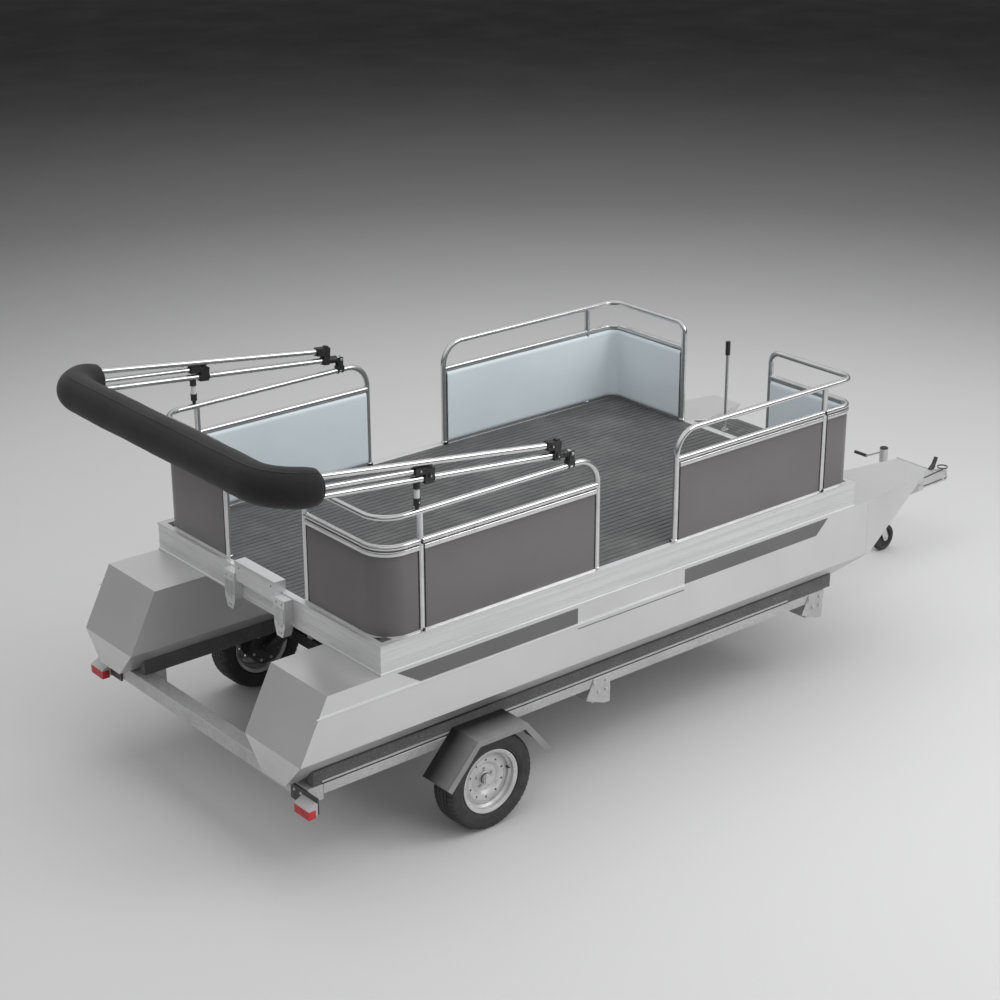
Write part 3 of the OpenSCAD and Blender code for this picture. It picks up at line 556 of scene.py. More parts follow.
def hull_trim():
    """The dark side stripe in two lengths, the thin line between them and the bow's weld seam."""
    top, low = 1.113, CHINE_TOP + 0.0006
    stripes = [[(0.104, top), (0.257, low), (1.395, low), (1.395, top)],
               [(2.245, low), (3.394, low), (3.497, top), (2.245, top)],
               [(1.397, 0.977), (2.241, 0.977), (2.241, 0.983), (1.397, 0.983)]]
    for side, s in SIDES.items():
        place = frame_at((STERN, s * (PONTOON_SIDE - 0.0005), 0), (0, s, 0))
        film = Piece()
        for outline in stripes:
            film.prism([(-s * x, z) for x, z in outline], place, 0.0013)
        film.done(f"stripe_{side}", HULL, "hull_paint", STRIPE)
        seam = Piece()
        seam.block((STERN + 3.881, s * PONTOON_SIDE - 0.001, 0.775),
                   (STERN + 3.885, s * PONTOON_SIDE + 0.001, 1.119), 0.0008)
        seam.done(f"bow_seam_{side}", HULL, "hull_paint")
        # painted shade: a black strip at the foot of the stern fascia stands for the shadow in the
        # gap between deck and pontoon top
        deck_gap_shade_strip = Piece()
        near, far = sorted((s * 0.602, s * 1.1265))
        deck_gap_shade_strip.block((STERN - 0.004, near, FASCIA_LOW - 0.002),
                   (STERN + 0.020, far, FASCIA_LOW + 0.006), 0.001)
        deck_gap_shade_strip.done(f"deck_gap_shade_{side}", HULL, "black_plastic")
    for side, s in SIDES.items():
        bead = Piece()
        y, r = s * (PONTOON_SIDE + 0.0045), 0.0042
        bead.sweep([(STERN - 0.425, y, 1.010), (STERN + 2.242, y, 1.010)],
                   arc((0, 0), r, 0, 315, 7))
        bead.done(f"chine_bead_{side}", HULL, "hull_paint", SEAM)


# ---- Deck ----

def fascia_profile():
    """Beads and a flange on the extruded fascia, as (out, height above its bottom) sections."""
    height = DECK_TOP - FASCIA_LOW
    flange = [(-0.001, 0.0), (0.004, 0.0), (0.005, 0.003), (0.005, 0.012), (0.001, 0.015),
              (-0.001, 0.015)]
    bead = [(-0.001, -0.003), (0.0012, -0.002), (0.0018, 0), (0.0012, 0.002), (-0.001, 0.003)]
    cap = [(-0.001, height - 0.012), (0.003, height - 0.010), (0.0035, height - 0.003),
           (0.002, height), (-0.001, height + 0.0005)]
    beads = [[(a, z + b) for a, b in bead] for z in (0.045, 0.058, 0.071, 0.128)]
    return [flange, cap, *beads]


def deck_trim():
    corners = [(STERN, -HALF_BEAM, FASCIA_LOW), (STERN + DECK_LEN, -HALF_BEAM, FASCIA_LOW),
               (STERN + DECK_LEN, HALF_BEAM, FASCIA_LOW), (STERN, HALF_BEAM, FASCIA_LOW)]
    trim = Piece()
    for section in fascia_profile():
        trim.sweep(corners, section, closed=True)
    trim.done("fascia_trim", HULL, "fascia_alu")

    pitch, joint, rise = 0.045, 0.007, 0.004
    half = FLOOR_HIGH.y - 0.002
    count = int(2 * half / pitch)
    start = -count * pitch / 2
    planks = Piece()
    for i in range(count):
        low, high = start + i * pitch + joint / 2, start + (i + 1) * pitch - joint / 2
        section = [(low, 0), (high, 0), (high, rise * 0.6), (high - 0.002, rise),
                   (low + 0.002, rise), (low, rise * 0.6)]
        line = [(FLOOR_LOW.x + 0.003, 0, FLOOR_HIGH.z), (FLOOR_HIGH.x - 0.003, 0, FLOOR_HIGH.z)]
        planks.sweep(line, [(-a, b) for a, b in section])
    planks.done("deck_planks", HULL, "deck_mat")

    platform_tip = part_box("bow_platform")[1].x
    pad = Piece()
    root, tip, inset = 0.358, 0.190, 0.031
    place = frame_at((STERN + DECK_LEN + 0.018, 0, FLOOR_HIGH.z), Z, (0, 1, 0))
    depth = platform_tip - STERN - DECK_LEN - 0.018 - inset
    pad.prism([(0, -root), (depth, -tip), (depth, tip), (0, root)], place, 0.003)
    for i in range(1, 6):
        x = depth * i / 6
        y = root + (tip - root) * i / 6 - 0.012
        pad.block((x - 0.003, -y, 0.003), (x + 0.003, y, 0.0055), 0.001, 1, place)
    pad.done("platform_pad", HULL, "deck_mat")

    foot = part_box("bow_pole")[0]
    bolts = Piece()
    for i in range(4):
        turn = math.radians(45 + 90 * i)
        centre = (foot.x + 0.025 + 0.018 * math.cos(turn), foot.y + 0.025 + 0.018 * math.sin(turn),
                  FLOOR_HIGH.z + 0.014)
        bolts.hexagon(centre, Z, 0.007, 0.004)
    bolts.done("pole_foot_bolts", HULL, "pole_steel")


def bracket_trim():
    """Bolts, a rolled edge and pads on the outboard bracket."""
    low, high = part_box("outboard_bracket")
    aft = STERN - 0.046
    trim = Piece()
    trim.sweep([(aft + 0.002, -0.206, high.z - 0.004), (aft + 0.002, 0.206, high.z - 0.004)],
               arc((0, 0), 0.0065, 0, 315, 7))
    trim.block((aft - 0.0016, -0.200, 1.2500), (aft + 0.002, 0.200, 1.2550), 0.001, 1)
    trim.done("bracket_edge", HULL, "fascia_alu")
    pads, bolts = Piece(), Piece()
    for s in (1, -1):
        y = s * 0.254
        pads.block((low.x - 0.003, y - 0.044, 1.150), (low.x + 0.001, y + 0.040, 1.235), 0.004, 0)
        for dy, z in ((-0.026, 1.265), (0.026, 1.265), (-0.018, 1.135), (0.014, 1.135),
                      (-0.012, 1.086), (0.010, 1.086)):
            bolts.hexagon((low.x, y + dy, z), (-1, 0, 0), 0.012, 0.006, 1.3)
    pads.done("bracket_pads", HULL, "fascia_alu", SKINS["pole_steel"], edge=0.001)
    bolts.done("bracket_bolts", HULL, "zinc_tube")


# ---- Fences ----

def fence_line(length, corner, start=0.0, end=0.0):
    """The line of a fence on the port side, from its open post to its gate post."""
    bend = arc((END_INSET + corner, FENCE_Y - corner), corner, 90, 180, 14)
    return [(length - start, FENCE_Y), *bend, (END_INSET, GATE_HALF + end)]


def liner(piece, line, profile, flip):
    """A panel's skin along a line: profile is (outwards, height) and is closed."""
    piece.sweep([(x, y, 0) for x, y in line], [(flip * a, b) for a, b in profile])


def outer_profile(low, high):
    near, far = PANEL_HALF - 0.001, PANEL_HALF + 0.0018
    return [(near, low), (far - 0.001, low), (far, low + 0.002), (far, high - 0.002),
            (far - 0.001, high), (near, high)]


def inner_profile(low, high):
    """A padded liner that covers the mid post: its edges roll over to the panel."""
    near, far, roll = PANEL_HALF - 0.002, TUBE_R + 0.0035, 0.030
    bottom = [(near + (far - near) * math.sin(math.radians(a)),
               low + roll * (1 - math.cos(math.radians(a)))) for a in range(0, 91, 15)]
    top = [(a, low + high - b) for a, b in reversed(bottom)]
    return [(near - 0.001, low), *bottom, *top, (near - 0.001, high)]


def placed(line, bow, s):
    """A port stern line brought to one of the four fences, in the row frame."""
    if bow:
        line = [(DECK_LEN - x, y) for x, y in line]
    return [(STERN + x, s * y) for x, y in line]


def fence_trim(name, length, corner, bow, s):
    low, high = PANEL_LOW.z, PANEL_HIGH.z
    flip = (-1 if bow else 1) * s
    edge = TUBE_R + 0.001
    full = fence_line(length, corner, edge, edge)
    forward = [(length - edge, FENCE_Y), (MID_POST + edge, FENCE_Y)]
    aft = [(MID_POST - edge, FENCE_Y), *full[1:]]

    outer = Piece()
    for line in (forward, aft):
        liner(outer, placed(line, bow, s), outer_profile(low + 0.002, high - 0.030), flip)
    outer.done(f"panel_outer_{name}", HULL, "panel_skin", OUTER_PANEL)

    inner = Piece()
    padding = [(-a, b) for a, b in inner_profile(low + 0.003, high - 0.002)]
    liner(inner, placed(full, bow, s), padding, flip)
    inner.done(f"panel_liner_{name}", HULL, "panel_skin", INNER_PANEL, smooth=50)

    channel = Piece()
    section = [(a + PANEL_HALF + 0.0045, b + high - 0.015) for a, b in rounded(0.013, 0.028, 0.005)]
    for line in (forward, aft):
        liner(channel, placed(line, bow, s), section, flip)
    channel.done(f"panel_channel_{name}", HULL, "rail_tube")

    # painted shade: black strips beside the posts stand for the shadow in the gap where the panel
    # sits back behind each post
    post_gap_shade = Piece()
    strip = [(a + PANEL_HALF + 0.001, b + (low + high - 0.028) / 2)
             for a, b in rounded(0.006, high - low - 0.030, 0.002)]
    wide = 0.005
    for x_from, x_to in ((length - edge, length - edge - wide), (MID_POST + edge + wide,
                         MID_POST + edge), (MID_POST - edge, MID_POST - edge - wide)):
        liner(post_gap_shade, placed([(x_from, FENCE_Y), (x_to, FENCE_Y)], bow, s), strip, flip)
    gate = [(END_INSET, GATE_HALF + edge + wide), (END_INSET, GATE_HALF + edge)]
    liner(post_gap_shade, placed(gate, bow, s), strip, flip)
    inside = [(-a - 0.004, b + 0.012) for a, b in strip]
    liner(post_gap_shade, placed(gate, bow, s), inside, flip)
    post = [(length - edge, FENCE_Y), (length - edge - wide, FENCE_Y)]
    liner(post_gap_shade, placed(post, bow, s), inside, flip)
    post_gap_shade.done(f"panel_gasket_{name}", HULL, "black_plastic")

    plugs = Piece()
    x = placed([(MID_POST, 0)], bow, s)[0][0]
    face = s * (FENCE_Y + TUBE_R)
    for z, tall, half in ((MID_RAIL_Z, 0.026, 0.005), (DECK_TOP + 0.0095, 0.018, 0.009)):
        near, far = sorted((face - s * 0.004, face + s * 0.005))
        plugs.block((x - half, near, z - tall / 2), (x + half, far, z + tall / 2), 0.004, 1)
    x = placed([(length, 0)], bow, s)[0][0]
    back = sorted((s * (FENCE_Y - TUBE_R - 0.010), s * (FENCE_Y - 0.006)))
    plugs.block((x - 0.014, back[0], FLOOR_HIGH.z),
                (x + 0.014, back[1], FLOOR_HIGH.z + 0.022), 0.004)
    plugs.done(f"fence_plugs_{name}", HULL, "black_plastic")

    collars = Piece()
    for along, reach in ((length, FENCE_Y), (MID_POST, FENCE_Y), (END_INSET, GATE_HALF)):
        (x, y), = placed([(along, reach)], bow, s)
        ring = [(TUBE_R - 0.001, 0), (TUBE_R + 0.004, 0), (TUBE_R + 0.004, 0.003),
                (TUBE_R + 0.001, 0.007), (TUBE_R - 0.001, 0.007)]
        collars.lathe(ring, Matrix.Translation((x, y, PANEL_LOW.z)), 28)
    collars.done(f"post_collars_{name}", HULL, "rail_tube")


def fences():
    for side, s in SIDES.items():
        fence_trim(f"stern_{side}", STERN_FENCE, STERN_CORNER, False, s)
        fence_trim(f"bow_{side}", BOW_FENCE, BOW_CORNER, True, s)


# ---- Bimini ----

STOWED = Matrix.Translation(HINGE) @ Matrix.Rotation(STOW_TILT, 4, "Y")


def boot_path(step=0.02):
    """The boot's centre line in the stowed frame, evenly spaced from the port end."""
    leg_y, run_x, r = FENCE_Y, -STOW_LEN, BIMINI_R
    port = [(-BOOT_LEG, leg_y), *arc((run_x + r, leg_y - r), r, 90, 180, 24)]
    line = port + [(x, -y) for x, y in reversed(port)]
    spots, walked = [Vector(line[0])], 0.0
    for a, b in zip(line, line[1:]):
        a, b = Vector(a), Vector(b)
        length = (b - a).length
        while walked + length >= step:
            a = a + (b - a).normalized() * (step - walked)
            spots.append(a.copy())
            length, walked = (b - a).length, 0.0
        walked += length
    return spots + [Vector(line[-1])]


def boot_radius(share, turn, spot):
    """Radius of the rolled cloth: soft folds, a slight sag below and a puckered end."""
    wave = noise.noise(Vector((spot.x * 3.1, spot.y * 3.1, math.cos(turn) * 0.9 + 7)))
    crease = noise.noise(Vector((spot.x * 14, spot.y * 14, turn * 0.8)))
    end = min(share, 1 - share)
    pucker = math.sin(turn * 22) * 0.0016 * max(0, 1 - end / 0.012)
    sag = 0.003 * max(0, -math.sin(turn)) * math.sin(math.pi * share)
    narrow = 0.018 * max(0, 1 - end / 0.045) ** 1.6
    return BOOT_R - 0.0035 - narrow + 0.0032 * wave + 0.0009 * crease + pucker + sag


def across(spots, i):
    """The level direction square to the boot's line at one of its spots."""
    along = (spots[min(len(spots) - 1, i + 1)] - spots[max(0, i - 1)]).normalized()
    return Vector((along.y, -along.x, 0))


def boot():
    """The cover, with two seams along it and a cuff at each end."""
    spots = boot_path()
    count, around = len(spots), 72
    rows = []
    for i, spot in enumerate(spots):
        side = across(spots, i)
        share = i / (count - 1)
        row = []
        for k in range(around):
            turn = 2 * math.pi * k / around
            r = boot_radius(share, turn, spot)
            out = r * math.cos(turn)
            row.append((spot.x + side.x * out, spot.y + side.y * out,
                        BOOT_Z + r * math.sin(turn)))
        rows.append(row)

    def end_rows(row, spot, inward):
        """Rolls an end of the boot over its hem and into its open mouth."""
        centre, made = Vector((spot.x, spot.y, BOOT_Z)), []
        rolled = [(1 - 0.15 * (1 - math.cos(math.radians(a))), 0.014 * math.sin(math.radians(a)))
                  for a in (20, 40, 60, 78, 90)]
        mouth = [(0.80, 0.009), (0.78, -0.010), (0.775, -0.060), (0.3, -0.064)]
        for share, forward in rolled + mouth:
            made.append([centre + (Vector(p) - centre) * share + inward * forward for p in row])
        return made

    forward = Vector((1, 0, 0))
    rows = [*reversed(end_rows(rows[0], spots[0], forward)), *rows,
            *end_rows(rows[-1], spots[-1], forward)]
    cover = Piece()
    cover._skin([[STOWED @ Vector(p) for p in row] for row in rows], False)
    cover = cover.done("bimini_boot_cover", "bimini", "boot_fabric", smooth=60)
    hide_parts("bimini_boot")

    bands = Piece()
    for turn, width in ((math.radians(62), 0.016), (math.radians(235), 0.024)):
        edge = []
        for i, spot in enumerate(spots):
            side = across(spots, i)
            ring = []
            for at, lift in ((-1, -0.0010), (-0.8, 0.0009), (0, 0.0013), (0.8, 0.0009),
                             (1, -0.0010), (0, -0.002)):
                a = turn + at * width / 2 / BOOT_R
                r = boot_radius(i / (count - 1), a, spot) + lift
                ring.append(STOWED @ (Vector((spot.x, spot.y, BOOT_Z))
                                      + side * r * math.cos(a) + Z * r * math.sin(a)))
            edge.append(ring)
        bands._skin(edge, False)
    bands.done("boot_seams", "bimini", "boot_fabric", smooth=50)

    cuffs = Piece()
    for end in (0, -1):
        spot = spots[end]
        for offset in (-0.006, -0.040):
            ring = []
            for k in range(around):
                turn = 2 * math.pi * k / around
                r = boot_radius(0.0, turn, spot) + 0.0012
                ring.append((spot.x + offset, spot.y + r * math.cos(turn),
                             BOOT_Z + r * math.sin(turn)))
            flat = [STOWED @ Vector(p) for p in ring]
            cuffs.tube_ring(flat, 0.0016)
    cuffs.done("boot_cuffs", "bimini", "boot_fabric", smooth=60)


def bimini_hardware():
    """Collars, knobs and bolts on the fittings, and the hinges' and props' details."""
    jaws, bolts = Piece(), Piece()
    upper = BOW_GAP + 0.155 * math.tan(FAN)
    collars = [(-0.186, upper, BOW_R, 0.0055), (-0.137, 0, BOW_R, 0.0050),
               (-0.032, 0, BOW_R, 0.0055), (-0.0595, 0, BOW_R, 0.0052),
               (-1.0995, SHORT_Z, SHORT_R, 0.0050), (-0.966, 0, BOW_R, 0.0048),
               (-1.0335, 0, BOW_R, 0.0048)]
    for s in (1, -1):
        y = s * FENCE_Y
        for x, z, r, wall in collars:
            ring = [(r + 0.0002, 0), (r + wall, 0.001), (r + wall, 0.005), (r + 0.0002, 0.006)]
            jaws.lathe(ring, STOWED @ frame_at((x - 0.003, y, z), (1, 0, 0)), 32)
        for x, z, reach in ((-0.109, 0.0, 0.024), (-0.155, upper, 0.024), (-1.0, 0.018, 0.024)):
            side = STOWED @ frame_at((x, y + s * (reach - 0.0005), z), (0, s, 0))
            jaws.lathe([(1e-5, 0), (0.013, 0), (0.013, 0.006), (0.009, 0.009), (1e-5, 0.009)],
                       side, 20)
            head = STOWED @ Vector((x, y + s * (reach + 0.0085), z))
            bolts.hexagon(head, (0, s, 0), 0.009, 0.004)
        head = STOWED @ Vector((-1.062, y + s * 0.022, SHORT_Z))
        bolts.hexagon(head, (0, s, 0), 0.009, 0.005, 1.2)
        for x, top, long in ((-0.109, 0.0850, 0.026), (-1.0, 0.0575, 0.034)):
            jaws.block((x - long / 2, y - 0.014, top - 0.002),
                       (x + long / 2, y + 0.014, top + 0.010), 0.004, 1, STOWED)
    jaws.done("bimini_jaws", "bimini", "black_plastic", smooth=40)
    bolts.done("bimini_jaw_bolts", "bimini", "pole_steel")

    clamps, heads, sleeves = Piece(), Piece(), Piece()
    rest_low, rest_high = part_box("bimini_rests")
    rest_x = (rest_low.x + rest_high.x) / 2
    rail_top = TOP_RAIL_Z + TUBE_R
    low, high = rail_top - 0.008 + 0.0665, rest_high.z - 0.0325
    for s in (1, -1):
        y = s * FENCE_Y
        for along in (-0.017, 0.017):
            strap = [(TUBE_R + 0.0002, 0), (TUBE_R + 0.0025, 0), (TUBE_R + 0.0025, 0.010),
                     (TUBE_R + 0.0002, 0.010)]
            clamps.lathe(strap, frame_at((HINGE.x + along - 0.005, y, TOP_RAIL_Z), (1, 0, 0)), 36)
        heads.hexagon((HINGE.x, y + s * 0.0238, HINGE.z), (0, s, 0), 0.014, 0.006, 1.2)
        heads.hexagon((HINGE.x, y - s * 0.0238, HINGE.z), (0, -s, 0), 0.014, 0.006, 1.2)
        sleeves.lathe([(0.0141, 0), (0.0152, 0.001), (0.0152, high - low - 0.001),
                       (0.0141, high - low)], Matrix.Translation((rest_x, y, low)), 32)
        for z, r in ((rail_top + 0.022, 0.0200), (rail_top + 0.056, 0.0203), (high - 0.001, 0.0203),
                     (high + 0.022, 0.0203)):
            clamps.lathe([(0.010, 0), (r - 0.001, 0), (r, 0.001), (r, 0.006), (r - 0.001, 0.007),
                          (0.010, 0.007)], Matrix.Translation((rest_x, y, z - 0.003)), 32)
        heads.hexagon((rest_x, y + s * 0.0188, rail_top + 0.040), (0, s, 0), 0.010, 0.005)
    clamps.done("bimini_clamps", HULL, "black_plastic", smooth=40)
    heads.done("bimini_clamp_bolts", HULL, "pole_steel")
    sleeves.done("prop_sleeves", HULL, "rail_tube", SLEEVE, smooth=40)


# ---- Wheels ----

def tyre_outline():
    """(radius, height) of a tyre's section, with three grooves round its tread."""
    radius = 0.297
    side = [(0.1785, 0.0625), (0.1945, 0.067), (0.199, 0.074), (0.203, 0.0805), (0.207, 0.0800),
            (0.212, 0.0835), (0.222, 0.0870), (0.232, 0.0885), (0.236, 0.0880), (0.244, 0.0899),
            (0.256, 0.0897), (0.262, 0.0885), (0.268, 0.0880), (0.276, 0.0855), (0.284, 0.0815),
            (0.290, 0.0755), (0.2945, 0.0660), (0.2955, 0.0600)]
    tread = []
    for groove in (0.045, 0.015):
        tread += [(radius - 0.0008, groove + 0.0035), (radius - 0.0075, groove + 0.0025),
                  (radius - 0.0075, groove - 0.0025), (radius - 0.0004, groove - 0.0035)]
    upper = side + tread
    lower = [(r, -h) for r, h in reversed(upper)]
    return upper + lower, len(side)


def tyre(side, s):
    outline, sides = tyre_outline()
    pitches, cut, steps = 56, 2, 6
    total = len(outline)

    def tread(i, j, r):
        """Sipes across the shoulders, each a third of a pitch wide, and shallow ones inside."""
        k = min(j, total - 1 - j)
        slot = (i + (1 if j * 2 < total else 4)) % steps < cut
        if slot and sides - 5 <= k < sides:
            return r - (0.0015, 0.004, 0.007, 0.007, 0.007)[k - sides + 5]
        if slot and k >= sides and r > 0.292:
            return r - 0.0035
        return r

    wheel = Piece()
    place = frame_at((WHEEL.x, s * WHEEL.y, WHEEL.z), (0, s, 0))
    wheel.lathe(outline, place, pitches * steps, tread)
    wheel = wheel.done(f"tyre_tread_{side}", f"wheel_{side}", "tyre_rubber",
                       smooth=38)
    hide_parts(f"tyre_{side}")


def wheel_details(side, s):
    disc = s * (WHEEL.y + 0.008)
    steel, cap, dark = Piece(), Piece(), Piece()
    for i in range(5):
        turn = 2 * math.pi * (i + 0.25) / 5
        x, z = WHEEL.x + 0.056 * math.cos(turn), WHEEL.z + 0.056 * math.sin(turn)
        steel.hexagon((x, disc + s * 0.006, z), (0, s, 0), 0.019, 0.012, 1.15)
    steel.lathe([(0.128, 0.0), (0.134, 0.0), (0.134, 0.0022), (0.128, 0.0022)],
                frame_at((WHEEL.x, disc + s * 0.0248, WHEEL.z), (0, s, 0)), 72)
    steel.done(f"wheel_bolts_{side}", f"wheel_{side}", "zinc_tube", smooth=30)
    cap.lathe([(1e-5, 0.030), (0.0295, 0.030), (0.0315, 0.002), (0.0345, 0.0), (0.0345, -0.012),
               (1e-5, -0.012)], frame_at((WHEEL.x, disc + s * 0.0125, WHEEL.z), (0, s, 0)), 40)
    cap.block((-0.021, -0.021, 0.029), (0.021, 0.021, 0.036), 0.006, 2,
              frame_at((WHEEL.x, disc + s * 0.0125, WHEEL.z), (0, s, 0)))
    cap.done(f"wheel_cap_{side}", f"wheel_{side}", "rim_silver", edge=0.001)
    valve = frame_at((WHEEL.x + 0.148, disc + s * 0.010, WHEEL.z + 0.02), (0.25, s, 0.03))
    dark.lathe([(1e-5, 0), (0.0055, 0), (0.004, 0.012), (0.0045, 0.030), (0.003, 0.034),
                (1e-5, 0.034)], valve, 16)
    dark.done(f"valve_{side}", f"wheel_{side}", "black_plastic")

    studs = Piece()
    inner = s * (WHEEL.y - 0.1145)
    for i in range(7):
        turn = math.radians(200 + i * 47)
        x, z = WHEEL.x + 0.094 * math.cos(turn), WHEEL.z + 0.094 * math.sin(turn)
        studs.hexagon((x, inner, z), (0, -s, 0), 0.015, 0.009, 1.2)
    studs.done(f"brake_plate_bolts_{side}", HULL, "zinc_tube")


def wheels():
    for side, s in SIDES.items():
        tyre(side, s)
        wheel_details(side, s)


# ---- Trailer, with its places along X measured from the deck's stern edge ----

GUSSETS = (1.630, 3.480)
RAIL_OUT = 1.045


def lamps():
    for side, s in SIDES.items():
        low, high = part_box("tail_lamps")
        y0, y1 = sorted((s * 1.011, s * high.y))
        split = low.z + 0.050
        red = Piece()
        red.block((low.x, y0, low.z), (high.x - 0.010, y1, split), 0.007, 2)
        for i in range(3):
            z = low.z + 0.010 + 0.015 * i
            red.block((low.x - 0.0016, y0 + 0.008, z - 0.002),
                      (low.x + 0.002, y1 - 0.008, z + 0.002), 0.001, 1)
        red = red.done(f"lamp_lens_{side}", HULL, "lamp_lens", edge=0.002)
        if side == "port":
            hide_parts("tail_lamps")
        shell = Piece()
        outline = [(low.x + 0.001, split), (high.x, low.z + 0.004), (high.x, high.z - 0.008),
                   (high.x - 0.006, high.z - 0.008), (low.x + 0.001, split + 0.006)]
        place = frame_at((0, y0 + 0.001, 0), (0, 1, 0), Z)
        shell.prism([(-x, z) for x, z in outline], place, y1 - y0 - 0.002)
        shell.done(f"lamp_housing_{side}", HULL, "galvanised", HOUSING, edge=0.003)
        screws = Piece()
        for y in (y0 + 0.022, y1 - 0.022):
            screws.lathe([(1e-5, 0), (0.004, 0), (0.003, 0.002), (1e-5, 0.002)],
                         frame_at((high.x - 0.026, y, split + 0.0225), (-0.55, 0, 0.84)), 14)
        screws.done(f"lamp_screws_{side}", HULL, "pole_steel")


def trailer_bolts():
    """Heads on the gussets, brackets, mudguards, axle pads and coupling."""
    steel = Piece()
    for s in (1, -1):
        for x in GUSSETS:
            for dx, z in ((-0.035, 0.535), (0.060, 0.535), (0.060, 0.475), (0.0, 0.475)):
                centre = (STERN + x + dx, s * (RAIL_OUT + 0.008), z)
                steel.hexagon(centre, (0, s, 0), 0.018, 0.010, 1.25)
        for x in (0.600, 0.835):
            steel.hexagon((STERN + x, s * (RAIL_OUT + 0.0033), 0.556), (0, s, 0), 0.016, 0.009, 1.3)
        for x in (0.797, 0.853):
            for y in (0.925, 0.965):
                steel.hexagon((STERN + x, s * y, 0.4949), (0, 0, -1), 0.016, 0.010, 1.2)
        for y in (0.935, 0.995):
            steel.hexagon((STERN - 0.452, s * y, 0.530), (-1, 0, 0), 0.013, 0.007, 1.2)
        for x in (5.722, 5.748):
            steel.hexagon((STERN + x, s * 0.070, 0.455), (0, s, 0), 0.017, 0.009, 1.2)
        for x in (5.350, 5.382):
            steel.hexagon((STERN + x, s * 0.048, 0.5002), Z, 0.011, 0.006, 1.1)
    steel.done("trailer_bolts", HULL, "zinc_tube")

    brackets = Piece()
    for s in (1, -1):
        for x in GUSSETS:
            for dx in (-0.030, 0.030):
                centre = (STERN + x + dx, s * 0.6878, 0.545)
                brackets.hexagon(centre, (0, -s, 0), 0.013, 0.007, 1.25)
    brackets.done("bunk_bolts", HULL, "zinc_tube")


def coupling_trim():
    """Dark strips of painted shade along the pressed halves of the coupling, for the shadow in the
    gap under its lid and along its bottom edge, and the lever's pivot.
    """
    dark, pin = Piece(), Piece()
    # painted shade: the upper strip is the shadow in the gap under the lid, the lower one the
    # shadow along the bottom edge
    shade_lines = [((5.765, 0.472), (6.020, 0.490), 0.010), ((5.765, 0.409), (6.020, 0.413), 0.008)]
    for s in (1, -1):
        for (x0, z0), (x1, z1), tall in shade_lines:
            place = frame_at((STERN, s * 0.0355, 0), (0, s, 0))
            strip = [(x0, z0), (x1, z1), (x1, z1 + tall), (x0, z0 + tall)]
            dark.prism([(-s * x, z) for x, z in strip], place, 0.0018)
        pin.hexagon((STERN + 5.905, s * 0.036, 0.508), (0, s, 0), 0.016, 0.008, 1.3)
        pin.hexagon((STERN + 6.057, s * 0.038, 0.452), (0, s, 0), 0.014, 0.006, 1.2)
    nose = Matrix.Translation((STERN + 6.057, 0, 0))
    # the same painted shade carried round the coupling's nose
    for z, tall in ((0.490, 0.010), (0.413, 0.008)):
        dark.lathe([(0.0370, z), (0.0392, z), (0.0392, z + tall), (0.0370, z + tall)], nose, 48)
    dark.done("coupling_gap_shade", HULL, "axle_paint")
    pin.done("coupling_bolts", HULL, "zinc_tube")


def bunk_trim():
    """A pale batten under the outer planks, and painted shade: a black strip below the batten for
    the shadow in the joint, and a black band along the planks' top for the shadow in the gap under
    the hull.
    """
    low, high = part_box("bunks_port")
    batten, joint, hull_gap_shade = Piece(), Piece(), Piece()
    rail_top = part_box("side_rails")[1].z
    start, end = low.x + 0.06, high.x - 0.40
    for s in (1, -1):
        near, far = sorted((s * (high.y - 0.002), s * (high.y + 0.0035)))
        batten.block((start, near, rail_top + 0.009), (end, far, rail_top + 0.021), 0.001, 0)
        # painted shade: a black strip for the shadow in the joint between plank and rail
        joint.block((start, near, rail_top + 0.001), (end, far - 0.001, rail_top + 0.010), 0.001, 0)
        # painted shade: a black band along the planks' top for the shadow in the gap under the hull
        near, far = sorted((s * (high.y - 0.040), s * (high.y + 0.0012)))
        hull_gap_shade.block((low.x + 0.004, near, high.z - 0.012),
                  (high.x - 0.03, far, high.z + 0.010), 0.002, 0)
    hull_gap_shade.done("bunk_hull_gap_shade", HULL, "black_plastic")
    batten.done("bunk_battens", HULL, "galvanised")
    joint.done("bunk_joint_shade", HULL, "black_plastic")


def jockey_trim():
    low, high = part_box("jockey_tube")
    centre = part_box("jockey_stem")
    x = (centre[0].x + centre[1].x) / 2
    cap = Piece()
    cap.lathe([(1e-5, 0.006), (0.026, 0.006), (0.0300, 0.003), (0.0305, -0.003), (0.0299, -0.003),
               (0.0299, -0.0005), (1e-5, -0.0005)], Matrix.Translation((x, 0, high.z)), 40)
    cap.done("jockey_cap", HULL, "black_plastic", smooth=40)
    ring = Piece()
    ring.lathe([(0.0298, 0), (0.0325, 0.001), (0.0325, 0.009), (0.0298, 0.010)],
               Matrix.Translation((x, 0, low.z + 0.004)), 40)
    ring.done("jockey_collar", HULL, "zinc_tube", smooth=40)
    grip = Piece()
    grip_low, grip_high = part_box("bow_pole_grip")
    middle = (grip_low + grip_high) / 2
    for i in range(6):
        grip.lathe([(0.0150, 0), (0.0168, 0.002), (0.0168, 0.005), (0.0150, 0.007)],
                   Matrix.Translation((middle.x, middle.y, grip_low.z + 0.008 + 0.013 * i)), 28)
    grip.done("grip_rings", HULL, "black_plastic", smooth=45)


# ---- Stage ----

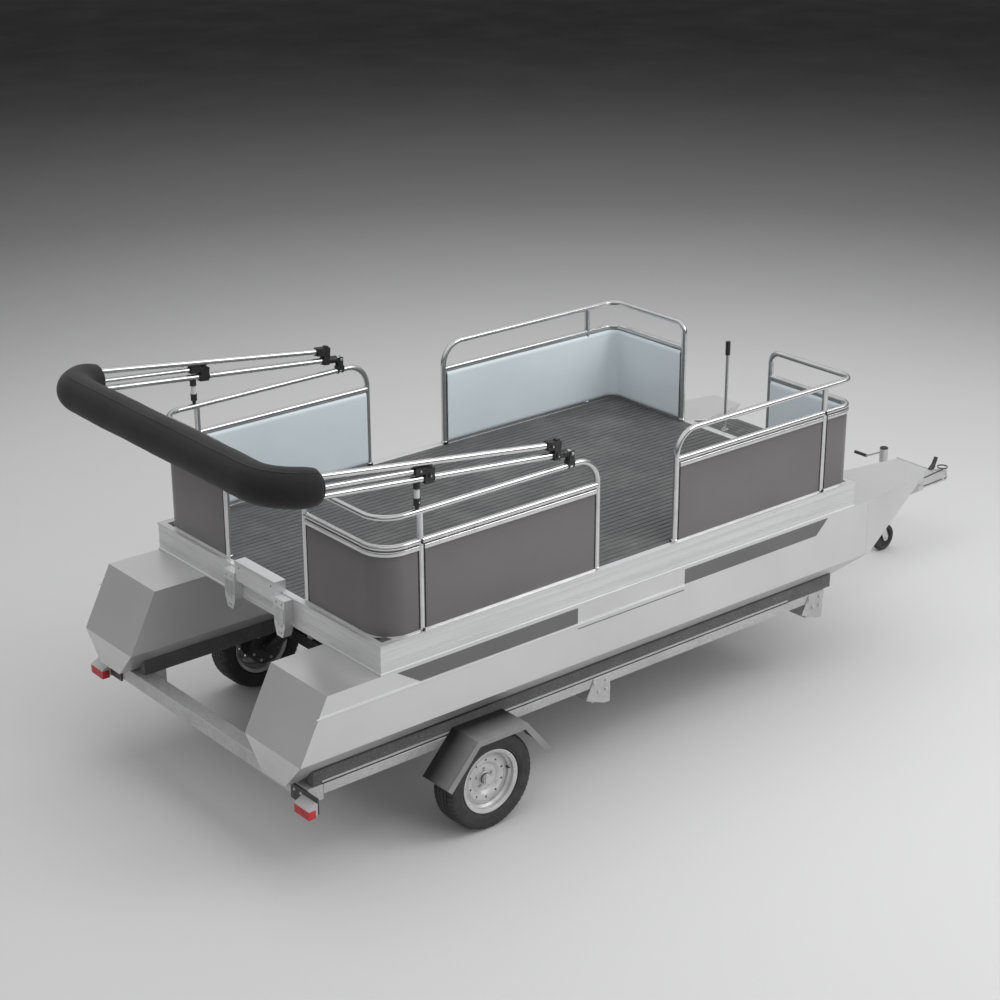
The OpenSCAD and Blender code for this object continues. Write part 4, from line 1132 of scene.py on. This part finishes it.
def stage():
    """A pale floor that darkens with distance, a grey sky and four soft lamps."""
    scene = bpy.context.scene
    scene.view_settings.view_transform = "Standard"
    floor = bpy.data.meshes.new("floor")
    reach = 160
    floor.from_pydata([(-reach, -reach, 0), (reach, -reach, 0), (reach, reach, 0),
                       (-reach, reach, 0)], [], [(0, 1, 2, 3)])
    floor = bpy.data.objects.new("floor", floor)
    scene.collection.objects.link(floor)
    ground = Finish("floor", grey(0.53), 0.60)
    ground.polish(ground.noise(0.8, 3), 0.55, 0.65)
    ground.fade([(0, 0.53), (6, 0.52), (9, 0.36), (12.5, 0.18), (19, 0.030), (26, 0.004)])
    ground.shader.inputs["IOR"].default_value = 1.12
    floor.data.materials.append(ground.material)

    world = bpy.data.worlds.new("studio")
    scene.world = world
    world.use_nodes = True
    nodes, links = world.node_tree.nodes, world.node_tree.links
    height = nodes.new("ShaderNodeSeparateXYZ")
    links.new(nodes.new("ShaderNodeTexCoord").outputs["Generated"], height.inputs[0])
    ramp = nodes.new("ShaderNodeValToRGB")
    stops = [(0.0, 0.50), (0.49, 0.10), (0.54, 0.12), (0.66, 0.50), (0.80, 0.78), (1.0, 0.80)]
    while len(ramp.color_ramp.elements) < len(stops):
        ramp.color_ramp.elements.new(0.5)
    for element, (position, value) in zip(ramp.color_ramp.elements, stops):
        element.position = position
        element.color = (value, value, value * 1.01, 1)
    span = nodes.new("ShaderNodeMapRange")
    span.inputs["From Min"].default_value = -1
    links.new(height.outputs["Z"], span.inputs["Value"])
    links.new(span.outputs["Result"], ramp.inputs["Fac"])
    links.new(ramp.outputs["Color"], nodes["Background"].inputs["Color"])
    nodes["Background"].inputs["Strength"].default_value = 0.95

    def soft_box(name, spot, target, size, power, mirrored_in=True):
        light = bpy.data.lights.new(name, "AREA")
        light.shape, light.size, light.energy = "SQUARE", size, power
        lamp = bpy.data.objects.new(name, light)
        scene.collection.objects.link(lamp)
        lamp.visible_glossy = mirrored_in
        lamp.location = spot
        aim = Vector(target) - Vector(spot)
        lamp.rotation_euler = aim.to_track_quat("-Z", "Y").to_euler()

    soft_box("top", (0.5, -0.5, 8.5), (0.5, -0.5, 0), 11.0, 490, False)
    soft_box("key", (4.5, -6.5, 7.0), (0, 0, 1), 5.0, 270)
    soft_box("side", (0.5, -10.0, 3.6), (0, 0, 0.6), 5.0, 235, False)
    soft_box("stern", (-10.0, 1.0, 2.8), (0, 0, 0.8), 5.0, 80, False)


def camera():
    """The view from off the stern's starboard quarter."""
    lens_data = bpy.data.cameras.new("camera")
    lens_data.lens, lens_data.sensor_width = 75.67, 36.0
    lens_data.clip_start, lens_data.clip_end = 0.1, 400
    eye = bpy.data.objects.new("camera", lens_data)
    bpy.context.scene.collection.objects.link(eye)
    yaw, pitch, roll = (math.radians(a) for a in (50.463, -21.854, -0.206))
    level = Vector((math.cos(yaw), math.sin(yaw), 0))
    ahead = level * math.cos(pitch) + Z * math.sin(pitch)
    right = Vector((math.sin(yaw), -math.cos(yaw), 0))
    up = right.cross(ahead)
    tilted_right = right * math.cos(roll) + up * math.sin(roll)
    tilted_up = up * math.cos(roll) - right * math.sin(roll)
    turned = Matrix((tilted_right, tilted_up, -ahead)).transposed().to_4x4()
    eye.matrix_world = Matrix.Translation((-8.580, -9.246, 6.147)) @ turned
    bpy.context.scene.camera = eye


camera()
dress_nodes()
hull_trim()
deck_trim()
bracket_trim()
fences()
boot()
bimini_hardware()
wheels()
lamps()
trailer_bolts()
coupling_trim()
bunk_trim()
jockey_trim()
stage()
